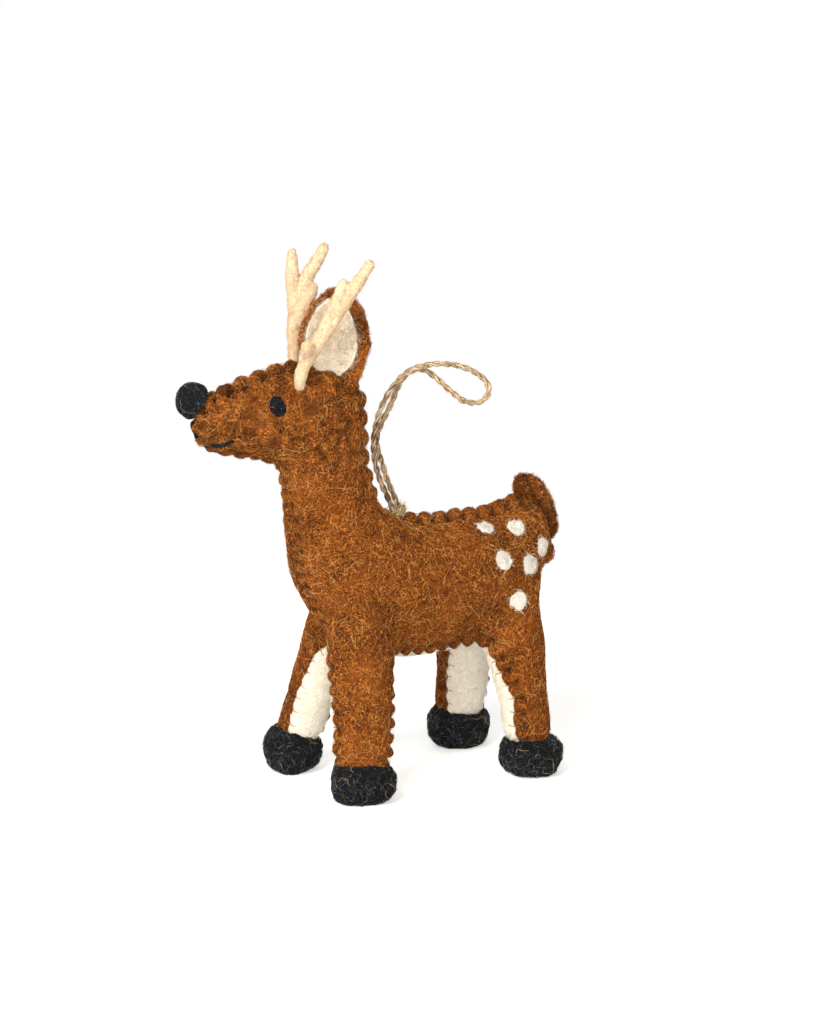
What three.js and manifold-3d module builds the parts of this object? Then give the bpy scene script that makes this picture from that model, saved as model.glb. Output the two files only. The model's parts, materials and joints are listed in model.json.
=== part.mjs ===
// A felt christmas ornament: a standing reindeer, sewn from wool felt over wool stuffing,
// with felted antlers on wire, felted hooves and a loop of jute twine on its back.
// Millimetres, +Z up. The hooves stand on Z = 0 and the body looks along -X, its left side at -Y.
import * as THREE from 'three';
import { mergeVertices } from 'three/addons/utils/BufferGeometryUtils.js';
import Module from 'manifold-3d';

const wasm = await Module();
wasm.setup();

// Felt, clearances and shared sizes
const feltThickness = 1.8;
const fitGap = 0.3;
const halfGap = fitGap / 2;
const soleCut = 0.5;
const overrun = 75;
const seamCells = 45;
const endShare = 0.35;

// Body: the belly's height over the floor, then the body's own length, height and width
const bellyHeight = 30.4;
const bodyLength = 70.6;
const bodyHeight = 35;
const bodyWidth = 31;
const bodySquareness = 2.4;
const chestAhead = 9.4;
const bodySides = 18;

// Each row of a body, head or neck table is one ring: its place along the form, the middle of
// the ring, then half its height and half its width, all as shares of the form's own sizes
const bodyShares = [
  [0, 0.85, 0, 0],
  [0.022, 0.83, 0.186, 0.19],
  [0.064, 0.767, 0.307, 0.31],
  [0.138, 0.681, 0.421, 0.406],
  [0.246, 0.581, 0.507, 0.471],
  [0.395, 0.516, 0.516, 0.5],
  [0.57, 0.487, 0.481, 0.484],
  [0.719, 0.493, 0.484, 0.49],
  [0.84, 0.533, 0.501, 0.484],
  [0.922, 0.61, 0.435, 0.406],
  [0.976, 0.67, 0.28, 0.27],
  [1, 0.66, 0, 0],
];

// Neck: rises from inside the body into the head
const neckFoot = 48;
const neckRise = 47;
const neckDepth = 24;
const neckWidth = 22;
const neckSides = 16;
const neckSquareness = 2;
const neckShares = [
  [0, 0.2, 0, 0],
  [0.05, 0.19, 0.4, 0.44],
  [0.25, 0.11, 0.52, 0.54],
  [0.38, 0.065, 0.5, 0.49],
  [0.51, 0.025, 0.475, 0.45],
  [0.68, -0.025, 0.442, 0.423],
  [0.85, -0.035, 0.425, 0.418],
  [0.97, -0.03, 0.3, 0.3],
  [1, -0.03, 0, 0],
];

// Head: from the back of the skull to the muzzle, turned to the deer's right on the neck
const headLength = 42;
const headHeight = 26.3;
const headWidth = 20;
const headBack = 9.4;
const jawHeight = 79;
const headTurn = THREE.MathUtils.degToRad(-20);
const turnStart = 64;
const turnEnd = 79;
const turnNear = 13;
const turnFar = 24;
const headSides = 16;
const headSquareness = 2.2;
const headShares = [
  [0, 0.494, 0, 0],
  [0.029, 0.504, 0.219, 0.25],
  [0.105, 0.481, 0.386, 0.4],
  [0.212, 0.487, 0.487, 0.49],
  [0.367, 0.506, 0.494, 0.51],
  [0.51, 0.51, 0.449, 0.46],
  [0.652, 0.494, 0.38, 0.38],
  [0.795, 0.471, 0.327, 0.325],
  [0.902, 0.46, 0.27, 0.28],
  [0.967, 0.449, 0.183, 0.21],
  [1, 0.441, 0, 0],
];

// Legs: each stands on its hoof and leans in to the body above
const trackWidth = 33.9;
const wheelbase = 48.2;
const legSplay = 10;
const legReach = 50;
const legEnd = 5.2;
const legSides = 10;
const legSquareness = 2;
const frontLegLean = 5.4;
const frontLegDepth = 14;
const frontLegWidth = 13;
const hindLegLean = -3;
const hindLegDepth = 12.6;
const hindLegWidth = 12.2;
const frontLeg = {
  foot: 0,
  lean: frontLegLean,
  depth: frontLegDepth,
  width: frontLegWidth,
  shares: [
    [0, 0, 0],
    [0.02, 0.62, 0.62],
    [0.07, 0.93, 0.93],
    [0.13, 1, 1],
    [0.3, 1.02, 1.02],
    [0.5, 1.1, 1.06],
    [0.66, 1.22, 1.08],
    [0.82, 1.1, 0.96],
    [0.94, 0.7, 0.6],
    [1, 0, 0],
  ],
};
const hindLeg = {
  foot: wheelbase,
  lean: hindLegLean,
  depth: hindLegDepth,
  width: hindLegWidth,
  shares: [
    [0, 0, 0],
    [0.02, 0.62, 0.62],
    [0.07, 0.93, 0.93],
    [0.13, 1, 1],
    [0.3, 1.02, 1.02],
    [0.44, 1.16, 1.1],
    [0.57, 1.36, 1.18],
    [0.73, 1.5, 1.2],
    [0.88, 1.25, 0.95],
    [1, 0, 0],
  ],
};
const girthShares = { front_left: 1.06, front_right: 0.88, hind_left: 0.97, hind_right: 1.03 };
const leanShares = { front_left: 1, front_right: 2.3, hind_left: 1, hind_right: 0.5 };

// Hooves: felted caps, rounded below and cut flat where they stand
const hoofDiameter = 15.5;
const hoofHeight = 9.1;
const hoofSides = 14;
const hoofShares = [
  [0, 0],
  [0.04, 0.3],
  [0.16, 0.43],
  [0.4, 0.5],
  [0.68, 0.49],
  [0.9, 0.465],
  [1, 0.4],
  [1.02, 0],
];

// Gusset: the pale panel under the belly and down the inside of every leg. Its near seam twists
// round the back of the front leg and the front of the hind leg, by shares of the twist up the
// seam and, for each leg, along that leg's depth from its foot
const gussetFoot = 14.4;
const gussetKnee = 12.2;
const gussetBelly = 8.4;
const gussetTop = 4;
const kneeHeight = 20;
const gussetHeight = 37;
const gussetTwist = 5.4;
const twistUpShares = [0.85, 1, 0.7, 0];
const frontTwistShares = [
  [0.05, 0],
  [0.35, 0.8],
  [0.8, 0.8],
  [1.4, 0],
];
const hindTwistShares = [
  [-1.5, 0],
  [-0.7, 1],
  [0, 1],
  [0.5, 0],
];

// Nose ball, eyes and the stitched mouth
const ballSides = 12;
const ballRingShare = 0.65;
const noseDiameter = 8.8;
const nosePlaceShare = [0.99, 0.655];
const eyeWidth = 3.8;
const eyeHeight = 5;
const eyeBulge = 1.5;
const eyePlaceShare = [0.535, 0.63];
const threadWidth = 0.9;
const threadRise = 0.6;
const mouthLength = 5.4;
const mouthSlope = THREE.MathUtils.degToRad(-15);
const mouthPlaceShare = [0.85, 0.265];
const lipLength = 4.6;
const lipPlaceShare = [0.99, 0.42];

// Spots: six needle-felted dots on each side of the rump, placed along and up the body
const spotDiameter = 5.6;
const spotSides = 8;
const spotRise = 0.6;
const spotShares = [
  [0.7, 0.908],
  [0.81, 0.897],
  [0.718, 0.679],
  [0.824, 0.627],
  [0.895, 0.726],
  [0.766, 0.381],
];

// Ears: a cupped leaf of felt. Its pale lining follows it, by heights up the ear and widths as
// shares of the ear's width there, and lies nearer to its front edge
const earHeight = 25;
const earWidth = 17;
const earCup = 4.5;
const leftEarLean = 1.5;
const rightEarLean = 3;
const earLean = { left: leftEarLean, right: rightEarLean };
const earRiseShare = { left: 1, right: 0.84 };
const earAngle = THREE.MathUtils.degToRad(-12);
const earPlaceShare = { left: [0.19, 0.2, 0.72], right: [0.13, 0.2, 0.72] };
const earCells = 6;
const earShares = [
  [0, 0.22, 0.6],
  [0.12, 0.31, 0.8],
  [0.28, 0.42, 0.95],
  [0.46, 0.5, 0.95],
  [0.64, 0.48, 0.8],
  [0.8, 0.39, 0.6],
  [0.92, 0.25, 0.35],
  [1, 0.1, 0.1],
];
const liningThickness = 0.9;
const liningShift = 1.1;
const liningShares = [
  [0.16, 0.25],
  [0.22, 0.55],
  [0.3, 0.7],
  [0.42, 0.74],
  [0.58, 0.74],
  [0.72, 0.7],
  [0.83, 0.6],
  [0.91, 0.35],
];

// Antlers: felted wool on a bent wire. Every point is a share of the antlers' height
const antlerHeight = 28;
const antlerBase = 3.3;
const antlerTip = 2.6;
const antlerSides = 8;
const antlerRootShare = [0.4, 0.22, 0.78];
const wireDiameter = 0.9;
const wireSides = 6;
const wireTopShare = 0.78;
const leftAntlerShares = {
  trunk: [[0, 0, 0], [-0.02, -0.17, 0.13], [0.12, -0.31, 0.43], [0.3, -0.39, 0.73], [0.53, -0.5, 1.11]],
  fork: [[0.17, -0.32, 0.53], [0.25, -0.4, 0.73], [0.31, -0.44, 0.95]],
  spur: [[0.03, -0.23, 0.28], [0.02, -0.34, 0.37], [0, -0.45, 0.43]],
};
const rightAntlerShares = {
  trunk: [[0, 0, 0], [0.04, 0.18, 0.19], [0.07, 0.27, 0.57], [0.05, 0.28, 0.85], [0.06, 0.31, 1.07]],
  fork: [[0.07, 0.28, 0.62], [0.18, 0.28, 0.85], [0.34, 0.3, 1.11]],
  spur: [[0.06, 0.25, 0.44], [0.15, 0.24, 0.6], [0.24, 0.26, 0.77]],
};

// Tail: a cupped leaf of felt sewn to the back of the rump
const tailHeight = 24;
const tailWidth = 13.5;
const tailCup = 3;
const tailFoot = 47.5;
const tailCells = 6;
const tailShares = [
  [0.03, 0, 0.1, 0.1],
  [0.06, 0.1, 0.2, 0.3],
  [0.08, 0.26, 0.28, 0.6],
  [0.09, 0.42, 0.42, 0.9],
  [0.06, 0.6, 0.5, 1],
  [0, 0.76, 0.5, 1],
  [-0.07, 0.9, 0.4, 0.8],
  [-0.13, 0.97, 0.26, 0.5],
  [-0.18, 1, 0.1, 0.2],
];

// Hanging loop: jute twine, knotted to the back seam. Its route is given from the knot's middle
const twineDiameter = 1.5;
const twineSides = 8;
const twineSteps = 44;
const knotDiameter = 4.4;
const knotPlaceShare = 0.42;
const knotSinkShare = 0.2;
const loopRoute = [
  [-1.6, 0, 2.5],
  [-2.9, 0, 4.6],
  [-5.3, 0, 9.5],
  [-6.9, 0, 15.4],
  [-6.6, 0, 21.6],
  [-4.9, 0, 27],
  [-1.8, 0, 31.6],
  [3, 0, 35.2],
  [8.8, 0, 36.3],
  [14.8, 0, 35.9],
  [20.6, 0, 34],
  [25, 0, 31],
  [26, 0, 28],
  [23.8, 0, 25.9],
  [19.4, 0, 26.2],
  [15.4, 0.3, 29],
  [11.6, 1.1, 32.6],
  [8, 1.9, 35],
  [4, 2, 34.5],
  [0.4, 1.8, 31.8],
  [-2.5, 1.3, 27.4],
  [-4.1, 0.6, 21.6],
  [-4.6, 0.1, 15.6],
  [-3, 0, 9.9],
  [-0.7, 0, 5],
  [1.1, 0, 2.6],
];

const upwards = new THREE.Vector3(0, 0, 1);

// Finishes
const brownFelt = new THREE.MeshStandardMaterial({ color: 0x7d471e, roughness: 0.95 });
const creamFelt = new THREE.MeshStandardMaterial({ color: 0xf3ead8, roughness: 0.95 });
const antlerFelt = new THREE.MeshStandardMaterial({ color: 0xf5dcb0, roughness: 0.95 });
const blackFelt = new THREE.MeshStandardMaterial({ color: 0x1e2023, roughness: 0.95 });
const earFelt = new THREE.MeshStandardMaterial({ color: 0xd8cbb8, roughness: 0.95 });
const whiteWool = new THREE.MeshStandardMaterial({ color: 0xf1ede2, roughness: 1 });
const blackThread = new THREE.MeshStandardMaterial({ color: 0x1a1a1c, roughness: 0.8 });
const stuffingWool = new THREE.MeshStandardMaterial({ color: 0xe9e4d8, roughness: 1 });
const juteTwine = new THREE.MeshStandardMaterial({ color: 0xb08d63, roughness: 0.9 });
const steelWire = new THREE.MeshStandardMaterial({ color: 0x8c8c8c, roughness: 0.4, metalness: 1 });

// Turning the head: points above the neck's foot go round it, all alike from the jaw upwards,
// and the back behind the neck stays where it is
function turnAngle(x, z) {
  const rise = THREE.MathUtils.smoothstep(z, turnStart, turnEnd);
  return headTurn * rise * (1 - THREE.MathUtils.smoothstep(x, turnNear, turnFar));
}

function turnPoint(point) {
  return point.applyAxisAngle(upwards, turnAngle(point.x, point.z));
}

// A closed geometry, turned with the head, as a solid that can be joined and cut
function solid(geometry) {
  geometry.deleteAttribute('normal');
  geometry.deleteAttribute('uv');
  const places = geometry.attributes.position;
  const point = new THREE.Vector3();
  for (let place = 0; place < places.count; place += 1) {
    turnPoint(point.fromBufferAttribute(places, place));
    places.setXYZ(place, point.x, point.y, point.z);
  }
  const merged = mergeVertices(geometry);
  return new wasm.Manifold(new wasm.Mesh({
    numProp: 3,
    vertProperties: Float32Array.from(merged.attributes.position.array),
    triVerts: Uint32Array.from(merged.index.array),
  }));
}

function join(solids) {
  return solids.reduce((whole, next) => whole.add(next));
}

function placed(geometry, x, y, z) {
  return solid(geometry.translate(x, y, z));
}

function indexed(positions, triangles) {
  const geometry = new THREE.BufferGeometry();
  geometry.setAttribute('position', new THREE.Float32BufferAttribute(positions, 3));
  geometry.setIndex(triangles);
  return geometry;
}

// Triangles that close a row of equal rings between two end points
function ringTriangles(ringCount, sides) {
  const triangles = [];
  const lastPoint = ringCount * sides + 1;
  for (let side = 0; side < sides; side += 1) {
    const next = (side + 1) % sides;
    triangles.push(0, 1 + next, 1 + side);
    for (let ring = 0; ring < ringCount - 1; ring += 1) {
      const here = 1 + ring * sides;
      const above = here + sides;
      triangles.push(here + side, here + next, above + next);
      triangles.push(here + side, above + next, above + side);
    }
    const top = 1 + (ringCount - 1) * sides;
    triangles.push(lastPoint, top + side, top + next);
  }
  return triangles;
}

// A stuffed form: rings square to one axis, rounded shut at both ends. Growing moves its skin
// outwards by a length, or inwards where that length is negative
function stuffedForm(axis, rings, sides, squareness, grow) {
  const first = rings[0].along;
  const last = rings[rings.length - 1].along;
  const middle = (first + last) / 2;
  const stretch = 1 + grow / (Math.abs(last - first) / 2);
  const positions = [];
  const inOrder = (along, across, up) => (axis === 'x' ? [along, across, up] : [across, up, along]);
  const grown = (half) => Math.max(half + grow, half * endShare);
  const squared = (turn) => Math.sign(turn) * Math.abs(turn) ** (2 / squareness);
  rings.forEach((ring, place) => {
    const along = middle + (ring.along - middle) * stretch;
    const isEnd = place === 0 || place === rings.length - 1;
    for (let side = 0; side < (isEnd ? 1 : sides); side += 1) {
      const angle = (side / sides) * Math.PI * 2;
      const across = isEnd ? 0 : squared(Math.cos(angle)) * grown(ring.halfAcross);
      const up = isEnd ? 0 : squared(Math.sin(angle)) * grown(ring.halfUp);
      positions.push(...inOrder(along, ring.across + across, ring.up + up));
    }
  });
  return solid(indexed(positions, ringTriangles(rings.length - 2, sides)));
}

function bodyForm(grow) {
  const rings = bodyShares.map(([along, middle, high, wide]) => ({
    along: along * bodyLength - chestAhead,
    across: 0,
    up: bellyHeight + middle * bodyHeight,
    halfAcross: wide * bodyWidth,
    halfUp: high * bodyHeight,
  }));
  return stuffedForm('x', rings, bodySides, bodySquareness, grow);
}

function neckForm(grow) {
  const rings = neckShares.map(([along, middle, deep, wide]) => ({
    along: neckFoot + along * neckRise,
    across: middle * neckDepth,
    up: 0,
    halfAcross: deep * neckDepth,
    halfUp: wide * neckWidth,
  }));
  return stuffedForm('z', rings, neckSides, neckSquareness, grow);
}

function headForm(grow) {
  const rings = headShares.map(([along, middle, high, wide]) => ({
    along: headBack - along * headLength,
    across: 0,
    up: jawHeight + middle * headHeight,
    halfAcross: wide * headWidth,
    halfUp: high * headHeight,
  }));
  return stuffedForm('x', rings.reverse(), headSides, headSquareness, grow);
}

function legForm(leg, side, girth, lean, grow) {
  const rings = leg.shares.map(([along, deep, wide]) => ({
    along: legEnd + along * legReach,
    across: leg.foot + along * leg.lean * lean,
    up: side * (trackWidth / 2 - along * legSplay),
    halfAcross: (deep * leg.depth * girth) / 2,
    halfUp: (wide * leg.width * girth) / 2,
  }));
  return stuffedForm('z', rings, legSides, legSquareness, grow);
}

const legs = [
  { name: 'front_left', leg: frontLeg, side: -1 },
  { name: 'front_right', leg: frontLeg, side: 1 },
  { name: 'hind_left', leg: hindLeg, side: -1 },
  { name: 'hind_right', leg: hindLeg, side: 1 },
];

function oneLeg({ name, leg, side }, grow) {
  return legForm(leg, side, girthShares[name], leanShares[name], grow);
}

function wholeForm(grow) {
  return join([bodyForm(grow), neckForm(grow), headForm(grow), ...legs.map((leg) => oneLeg(leg, grow))]);
}

// The felt's outside and inside, and the space that whatever lies on the felt keeps clear of
const outside = wholeForm(0);
const inside = wholeForm(-feltThickness);
const clearOutside = wholeForm(fitGap);
const skin = outside.subtract(inside);

function box(low, high, cells = 1) {
  const size = high.clone().sub(low);
  const middle = high.clone().add(low).multiplyScalar(1 / 2);
  return placed(new THREE.BoxGeometry(size.x, size.y, size.z, cells, 1, cells), middle.x, middle.y, middle.z);
}

// Everything on one side of the seam between the two side panels
function sideHalf(side) {
  const far = side * overrun;
  const near = side * halfGap;
  const low = new THREE.Vector3(-overrun, Math.min(near, far), 0);
  const high = new THREE.Vector3(overrun * 2, Math.max(near, far), overrun * 2);
  return box(low, high, seamCells);
}

// The space of the gusset: a wedge that follows the inside of the legs and shuts over the belly
function gussetSpace(grow) {
  const halves = [gussetFoot, gussetKnee, gussetBelly, gussetTop];
  const heights = [0, kneeHeight, bellyHeight, gussetHeight + grow];
  const frontTwists = frontTwistShares.map(([along, share]) => [along * frontLegDepth, share]);
  const hindTwists = hindTwistShares.map(([along, share]) => [wheelbase + along * hindLegDepth, share]);
  const stations = [[-overrun, 0], ...frontTwists, ...hindTwists, [overrun * 2, 0]];
  const positions = [-overrun, 0, kneeHeight];
  stations.forEach(([x, share]) => {
    const farEdge = halves.map((half, row) => [x, half + grow, heights[row]]);
    const nearEdge = farEdge.map(([, half, height], row) => {
      const twist = share * twistUpShares[row] * gussetTwist;
      return [x, -half - twist, height];
    });
    positions.push(...farEdge.flat(), ...nearEdge.reverse().flat());
  });
  positions.push(overrun * 2, 0, kneeHeight);
  return solid(indexed(positions, ringTriangles(stations.length, halves.length * 2)));
}

const ornament = new THREE.Group();

function addPiece(name, shape, material) {
  const mesh = shape.getMesh();
  const geometry = indexed(mesh.vertProperties, [...mesh.triVerts]);
  geometry.computeVertexNormals();
  const piece = new THREE.Mesh(geometry, material);
  piece.name = name;
  ornament.add(piece);
  return piece;
}

// Where a level line from one side of the deer first meets the felt
const feltMesh = outside.getMesh();
const feltTarget = new THREE.Mesh(indexed(feltMesh.vertProperties, [...feltMesh.triVerts]));

function seatOnFelt(x, z, side) {
  const angle = turnAngle(x, z);
  const start = new THREE.Vector3(x, side * overrun, z).applyAxisAngle(upwards, angle);
  const caster = new THREE.Raycaster(start, new THREE.Vector3(0, -side, 0).applyAxisAngle(upwards, angle));
  return caster.intersectObject(feltTarget)[0].point.applyAxisAngle(upwards, -angle);
}

function headPlace([along, up]) {
  return [headBack - along * headLength, jawHeight + up * headHeight];
}

// Antlers: tapered round branches with rounded ends
function branch(points, startDiameter, endDiameter, sides) {
  const path = new THREE.CatmullRomCurve3(points);
  const steps = points.length + 1;
  const frames = path.computeFrenetFrames(steps, false);
  const rings = [];
  for (let step = 0; step <= steps; step += 1) {
    const half = THREE.MathUtils.lerp(startDiameter, endDiameter, step / steps) / 2;
    rings.push({ centre: path.getPointAt(step / steps), half, step });
  }
  const first = rings[0];
  const last = rings[steps];
  const startPole = first.centre.clone().addScaledVector(frames.tangents[0], -first.half / 2);
  const roundEnd = { centre: last.centre.clone(), half: last.half, step: steps };
  last.half *= 1 - endShare / 2;
  roundEnd.half = last.half * (1 - endShare);
  roundEnd.centre.addScaledVector(frames.tangents[steps], last.half / 2);
  const endPole = roundEnd.centre.clone().addScaledVector(frames.tangents[steps], roundEnd.half / 2);
  const positions = [...startPole.toArray()];
  [...rings, roundEnd].forEach(({ centre, half, step }) => {
    for (let side = 0; side < sides; side += 1) {
      const angle = (side / sides) * Math.PI * 2;
      const point = centre.clone().addScaledVector(frames.normals[step], Math.cos(angle) * half);
      positions.push(...point.addScaledVector(frames.binormals[step], Math.sin(angle) * half).toArray());
    }
  });
  positions.push(...endPole.toArray());
  return solid(indexed(positions, ringTriangles(rings.length + 1, sides)));
}

function antlerRoot(side) {
  const [along, out, up] = antlerRootShare;
  const [x, z] = headPlace([along, up]);
  return new THREE.Vector3(x, side * out * headWidth, z);
}

function antlerPoints(shares, root) {
  return shares.map((share) => new THREE.Vector3(...share).multiplyScalar(antlerHeight).add(root));
}

function roundOutline(diameter, sides) {
  const points = [];
  for (let side = 0; side < sides; side += 1) {
    const angle = (side / sides) * Math.PI * 2;
    points.push(new THREE.Vector2(Math.cos(angle), Math.sin(angle)).multiplyScalar(diameter / 2));
  }
  return new THREE.Shape(points);
}

function rod(path, diameter, sides, steps) {
  return solid(new THREE.ExtrudeGeometry(roundOutline(diameter, sides), { steps, extrudePath: path }));
}

function wirePath(trunk, root, topShare) {
  const curve = new THREE.CatmullRomCurve3(antlerPoints(trunk, root));
  const points = [];
  const steps = trunk.length * 2;
  for (let step = 0; step <= steps; step += 1) {
    points.push(curve.getPointAt((step / steps) * topShare));
  }
  return new THREE.CatmullRomCurve3(points);
}

const antlers = [
  { side: -1, name: 'left', shares: leftAntlerShares },
  { side: 1, name: 'right', shares: rightAntlerShares },
].map(({ side, name, shares }) => {
  const root = antlerRoot(side);
  const steps = shares.trunk.length * 2;
  const wireEnd = wireTopShare;
  const boreEnd = wireTopShare + fitGap / antlerHeight;
  const wire = rod(wirePath(shares.trunk, root, wireEnd), wireDiameter, wireSides, steps);
  const bore = rod(wirePath(shares.trunk, root, boreEnd), wireDiameter + fitGap * 2, wireSides, steps);
  const tines = join([
    branch(antlerPoints(shares.trunk, root), antlerBase, antlerTip, antlerSides),
    branch(antlerPoints(shares.fork, root), antlerBase, antlerTip, antlerSides),
    branch(antlerPoints(shares.spur, root), antlerBase, antlerTip, antlerSides),
  ]);
  return { name, wire, bore, felt: tines.subtract(bore).subtract(clearOutside) };
});
const bores = join(antlers.map(({ bore }) => bore));

// Side panels and gusset: the felt skin, cut along its seams
function sidePanel(side) {
  return skin.intersect(sideHalf(side)).subtract(gussetSpace(halfGap)).subtract(bores);
}

addPiece('left_side_panel', sidePanel(-1), brownFelt);
addPiece('right_side_panel', sidePanel(1), brownFelt);
addPiece('belly_gusset', skin.intersect(gussetSpace(-halfGap)), creamFelt);

// Stuffing: the body's is whole, the others end where they meet a larger one
const stuffingGrow = -feltThickness - fitGap;
const bodyFill = bodyForm(stuffingGrow);
const headFill = headForm(stuffingGrow);
addPiece('body_stuffing', bodyFill, stuffingWool);
addPiece('head_stuffing', headFill.subtract(bores), stuffingWool);
addPiece(
  'neck_stuffing',
  neckForm(stuffingGrow).subtract(bodyForm(-feltThickness)).subtract(headForm(-feltThickness)),
  stuffingWool,
);
legs.forEach((leg) => {
  const fill = oneLeg(leg, stuffingGrow).subtract(bodyForm(-feltThickness));
  addPiece(`${leg.name}_leg_stuffing`, fill, stuffingWool);
});

// Hooves
function hoofForm({ name, leg, side }) {
  const diameter = (hoofDiameter * (1 + girthShares[name])) / 2;
  const rings = hoofShares.map(([along, half]) => ({
    along: along * (hoofHeight + soleCut) - soleCut,
    across: leg.foot,
    up: (side * trackWidth) / 2,
    halfAcross: half * diameter,
    halfUp: half * diameter,
  }));
  return stuffedForm('z', rings, hoofSides, legSquareness, 0);
}

const underFloor = box(
  new THREE.Vector3(-overrun * 2, -overrun, -overrun),
  new THREE.Vector3(overrun * 2, overrun, 0),
);
legs.forEach((leg) => {
  const hoof = hoofForm(leg).subtract(oneLeg(leg, fitGap)).subtract(underFloor);
  addPiece(`${leg.name}_hoof`, hoof, blackFelt);
});

// Leaves of felt: rows of points across a spine, cupped towards the side that they face
function leaf(rows, cells, thickness, lift) {
  const positions = [];
  const triangles = [];
  const across = cells + 1;
  const layer = rows.length * across;
  [lift + thickness, lift].forEach((height) => {
    rows.forEach((row) => {
      for (let cell = 0; cell <= cells; cell += 1) {
        const aside = row.halfWidth * ((cell / cells) * 2 - 1) + row.shift;
        const point = row.spine.clone().addScaledVector(row.across, aside);
        point.addScaledVector(row.facing, row.cup * (aside / row.cupWidth) ** 2 + height);
        positions.push(...point.toArray());
      }
    });
  });
  const quad = (a, b, c, d) => triangles.push(a, b, c, a, c, d);
  for (let row = 0; row < rows.length - 1; row += 1) {
    for (let cell = 0; cell < cells; cell += 1) {
      const corner = row * across + cell;
      quad(corner, corner + 1, corner + across + 1, corner + across);
      quad(layer + corner, layer + corner + across, layer + corner + across + 1, layer + corner + 1);
    }
    const left = row * across;
    const right = left + cells;
    quad(left, left + across, layer + left + across, layer + left);
    quad(right, layer + right, layer + right + across, right + across);
  }
  const topRow = (rows.length - 1) * across;
  for (let cell = 0; cell < cells; cell += 1) {
    quad(cell, layer + cell, layer + cell + 1, cell + 1);
    quad(topRow + cell, topRow + cell + 1, layer + topRow + cell + 1, layer + topRow + cell);
  }
  return indexed(positions, triangles);
}

// How wide the ear is and how deep its cup, at a height between two of its shares
function earAt(rise) {
  const next = Math.max(1, earShares.findIndex(([height]) => height >= rise));
  const below = earShares[next - 1];
  const above = earShares[next];
  const part = (rise - below[0]) / (above[0] - below[0]);
  return [1, 2].map((column) => THREE.MathUtils.lerp(below[column], above[column], part));
}

function earRows(side, name, shares, shift) {
  const [along, out, up] = earPlaceShare[name];
  const [x, z] = headPlace([along, up]);
  const height = earHeight * earRiseShare[name];
  const across = new THREE.Vector3(Math.cos(earAngle), side * -Math.sin(earAngle), 0);
  const facing = new THREE.Vector3(Math.sin(earAngle), side * Math.cos(earAngle), 0);
  return shares.map(([rise, part]) => {
    const [wide, cup] = earAt(rise);
    return {
      spine: new THREE.Vector3(x, side * (out * headWidth + rise * earLean[name]), z + rise * height),
      across,
      facing,
      halfWidth: wide * earWidth * part,
      shift: -shift * part,
      cup: cup * earCup,
      cupWidth: wide * earWidth,
    };
  });
}

// A leaf's faces turn outwards on one side of the deer and are turned round on the other
function leafSolid(geometry, side) {
  if (side > 0) {
    const order = geometry.index.array;
    for (let corner = 0; corner < order.length; corner += 3) {
      [order[corner + 1], order[corner + 2]] = [order[corner + 2], order[corner + 1]];
    }
  }
  return solid(geometry);
}

[{ side: -1, name: 'left' }, { side: 1, name: 'right' }].forEach(({ side, name }) => {
  const wholeEar = earShares.map(([rise]) => [rise, 1]);
  const outer = leaf(earRows(side, name, wholeEar, 0), earCells, feltThickness, -feltThickness);
  const lining = leaf(earRows(side, name, liningShares, liningShift), earCells, liningThickness, fitGap);
  addPiece(`${name}_ear`, leafSolid(outer, side).subtract(clearOutside), brownFelt);
  addPiece(`${name}_ear_lining`, leafSolid(lining, side).subtract(clearOutside), earFelt);
});

// Antlers on their wires
antlers.forEach(({ name, wire, felt }) => {
  addPiece(`${name}_antler`, felt, antlerFelt);
  addPiece(`${name}_antler_wire`, wire, steelWire);
});

// Eyes and nose: felted balls, the eyes sunk to their middle
function ball(halfX, halfY, halfZ, sides = ballSides) {
  const rings = Math.round(sides * ballRingShare);
  return new THREE.SphereGeometry(1, sides, rings).rotateX(Math.PI / 2).scale(halfX, halfY, halfZ);
}

[{ side: -1, name: 'left' }, { side: 1, name: 'right' }].forEach(({ side, name }) => {
  const [x, z] = headPlace(eyePlaceShare);
  const seat = seatOnFelt(x, z, side);
  const eye = placed(ball(eyeWidth / 2, eyeBulge, eyeHeight / 2), seat.x, seat.y, seat.z);
  addPiece(`${name}_eye`, eye.subtract(clearOutside), blackFelt);
});

const [noseX, noseZ] = headPlace(nosePlaceShare);
const noseHalf = noseDiameter / 2;
const nose = placed(ball(noseHalf, noseHalf, noseHalf), noseX, 0, noseZ).subtract(clearOutside);
addPiece('nose', nose, blackFelt);

// Thread and needle-felted wool lie on the felt as thin layers that follow it
const threadLayer = wholeForm(fitGap + threadRise).subtract(clearOutside);
const spotLayer = wholeForm(fitGap + spotRise).subtract(clearOutside);

[{ side: -1, name: 'left' }, { side: 1, name: 'right' }].forEach(({ side, name }) => {
  const [x, z] = headPlace(mouthPlaceShare);
  const reach = headWidth / 2;
  const stitch = new THREE.BoxGeometry(mouthLength, reach, threadWidth).rotateY(mouthSlope);
  addPiece(`${name}_mouth_stitch`, placed(stitch, x, (side * reach) / 2 + side * threadWidth, z)
    .intersect(threadLayer), blackThread);
});
const [lipX, lipZ] = headPlace(lipPlaceShare);
const lip = placed(new THREE.BoxGeometry(noseHalf, threadWidth, lipLength), lipX, 0, lipZ);
const noseSpace = placed(ball(noseHalf + fitGap, noseHalf + fitGap, noseHalf + fitGap), noseX, 0, noseZ);
addPiece('lip_stitch', lip.intersect(threadLayer).subtract(noseSpace), blackThread);

[{ side: -1, name: 'left' }, { side: 1, name: 'right' }].forEach(({ side, name }) => {
  spotShares.forEach(([along, up], place) => {
    const seat = seatOnFelt(along * bodyLength - chestAhead, bellyHeight + up * bodyHeight, side);
    const reach = spotDiameter / 2;
    const spot = placed(ball(reach, reach, reach, spotSides), seat.x, seat.y, seat.z).intersect(spotLayer);
    addPiece(`${name}_rump_spot_${place + 1}`, spot, whiteWool);
  });
});

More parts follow.
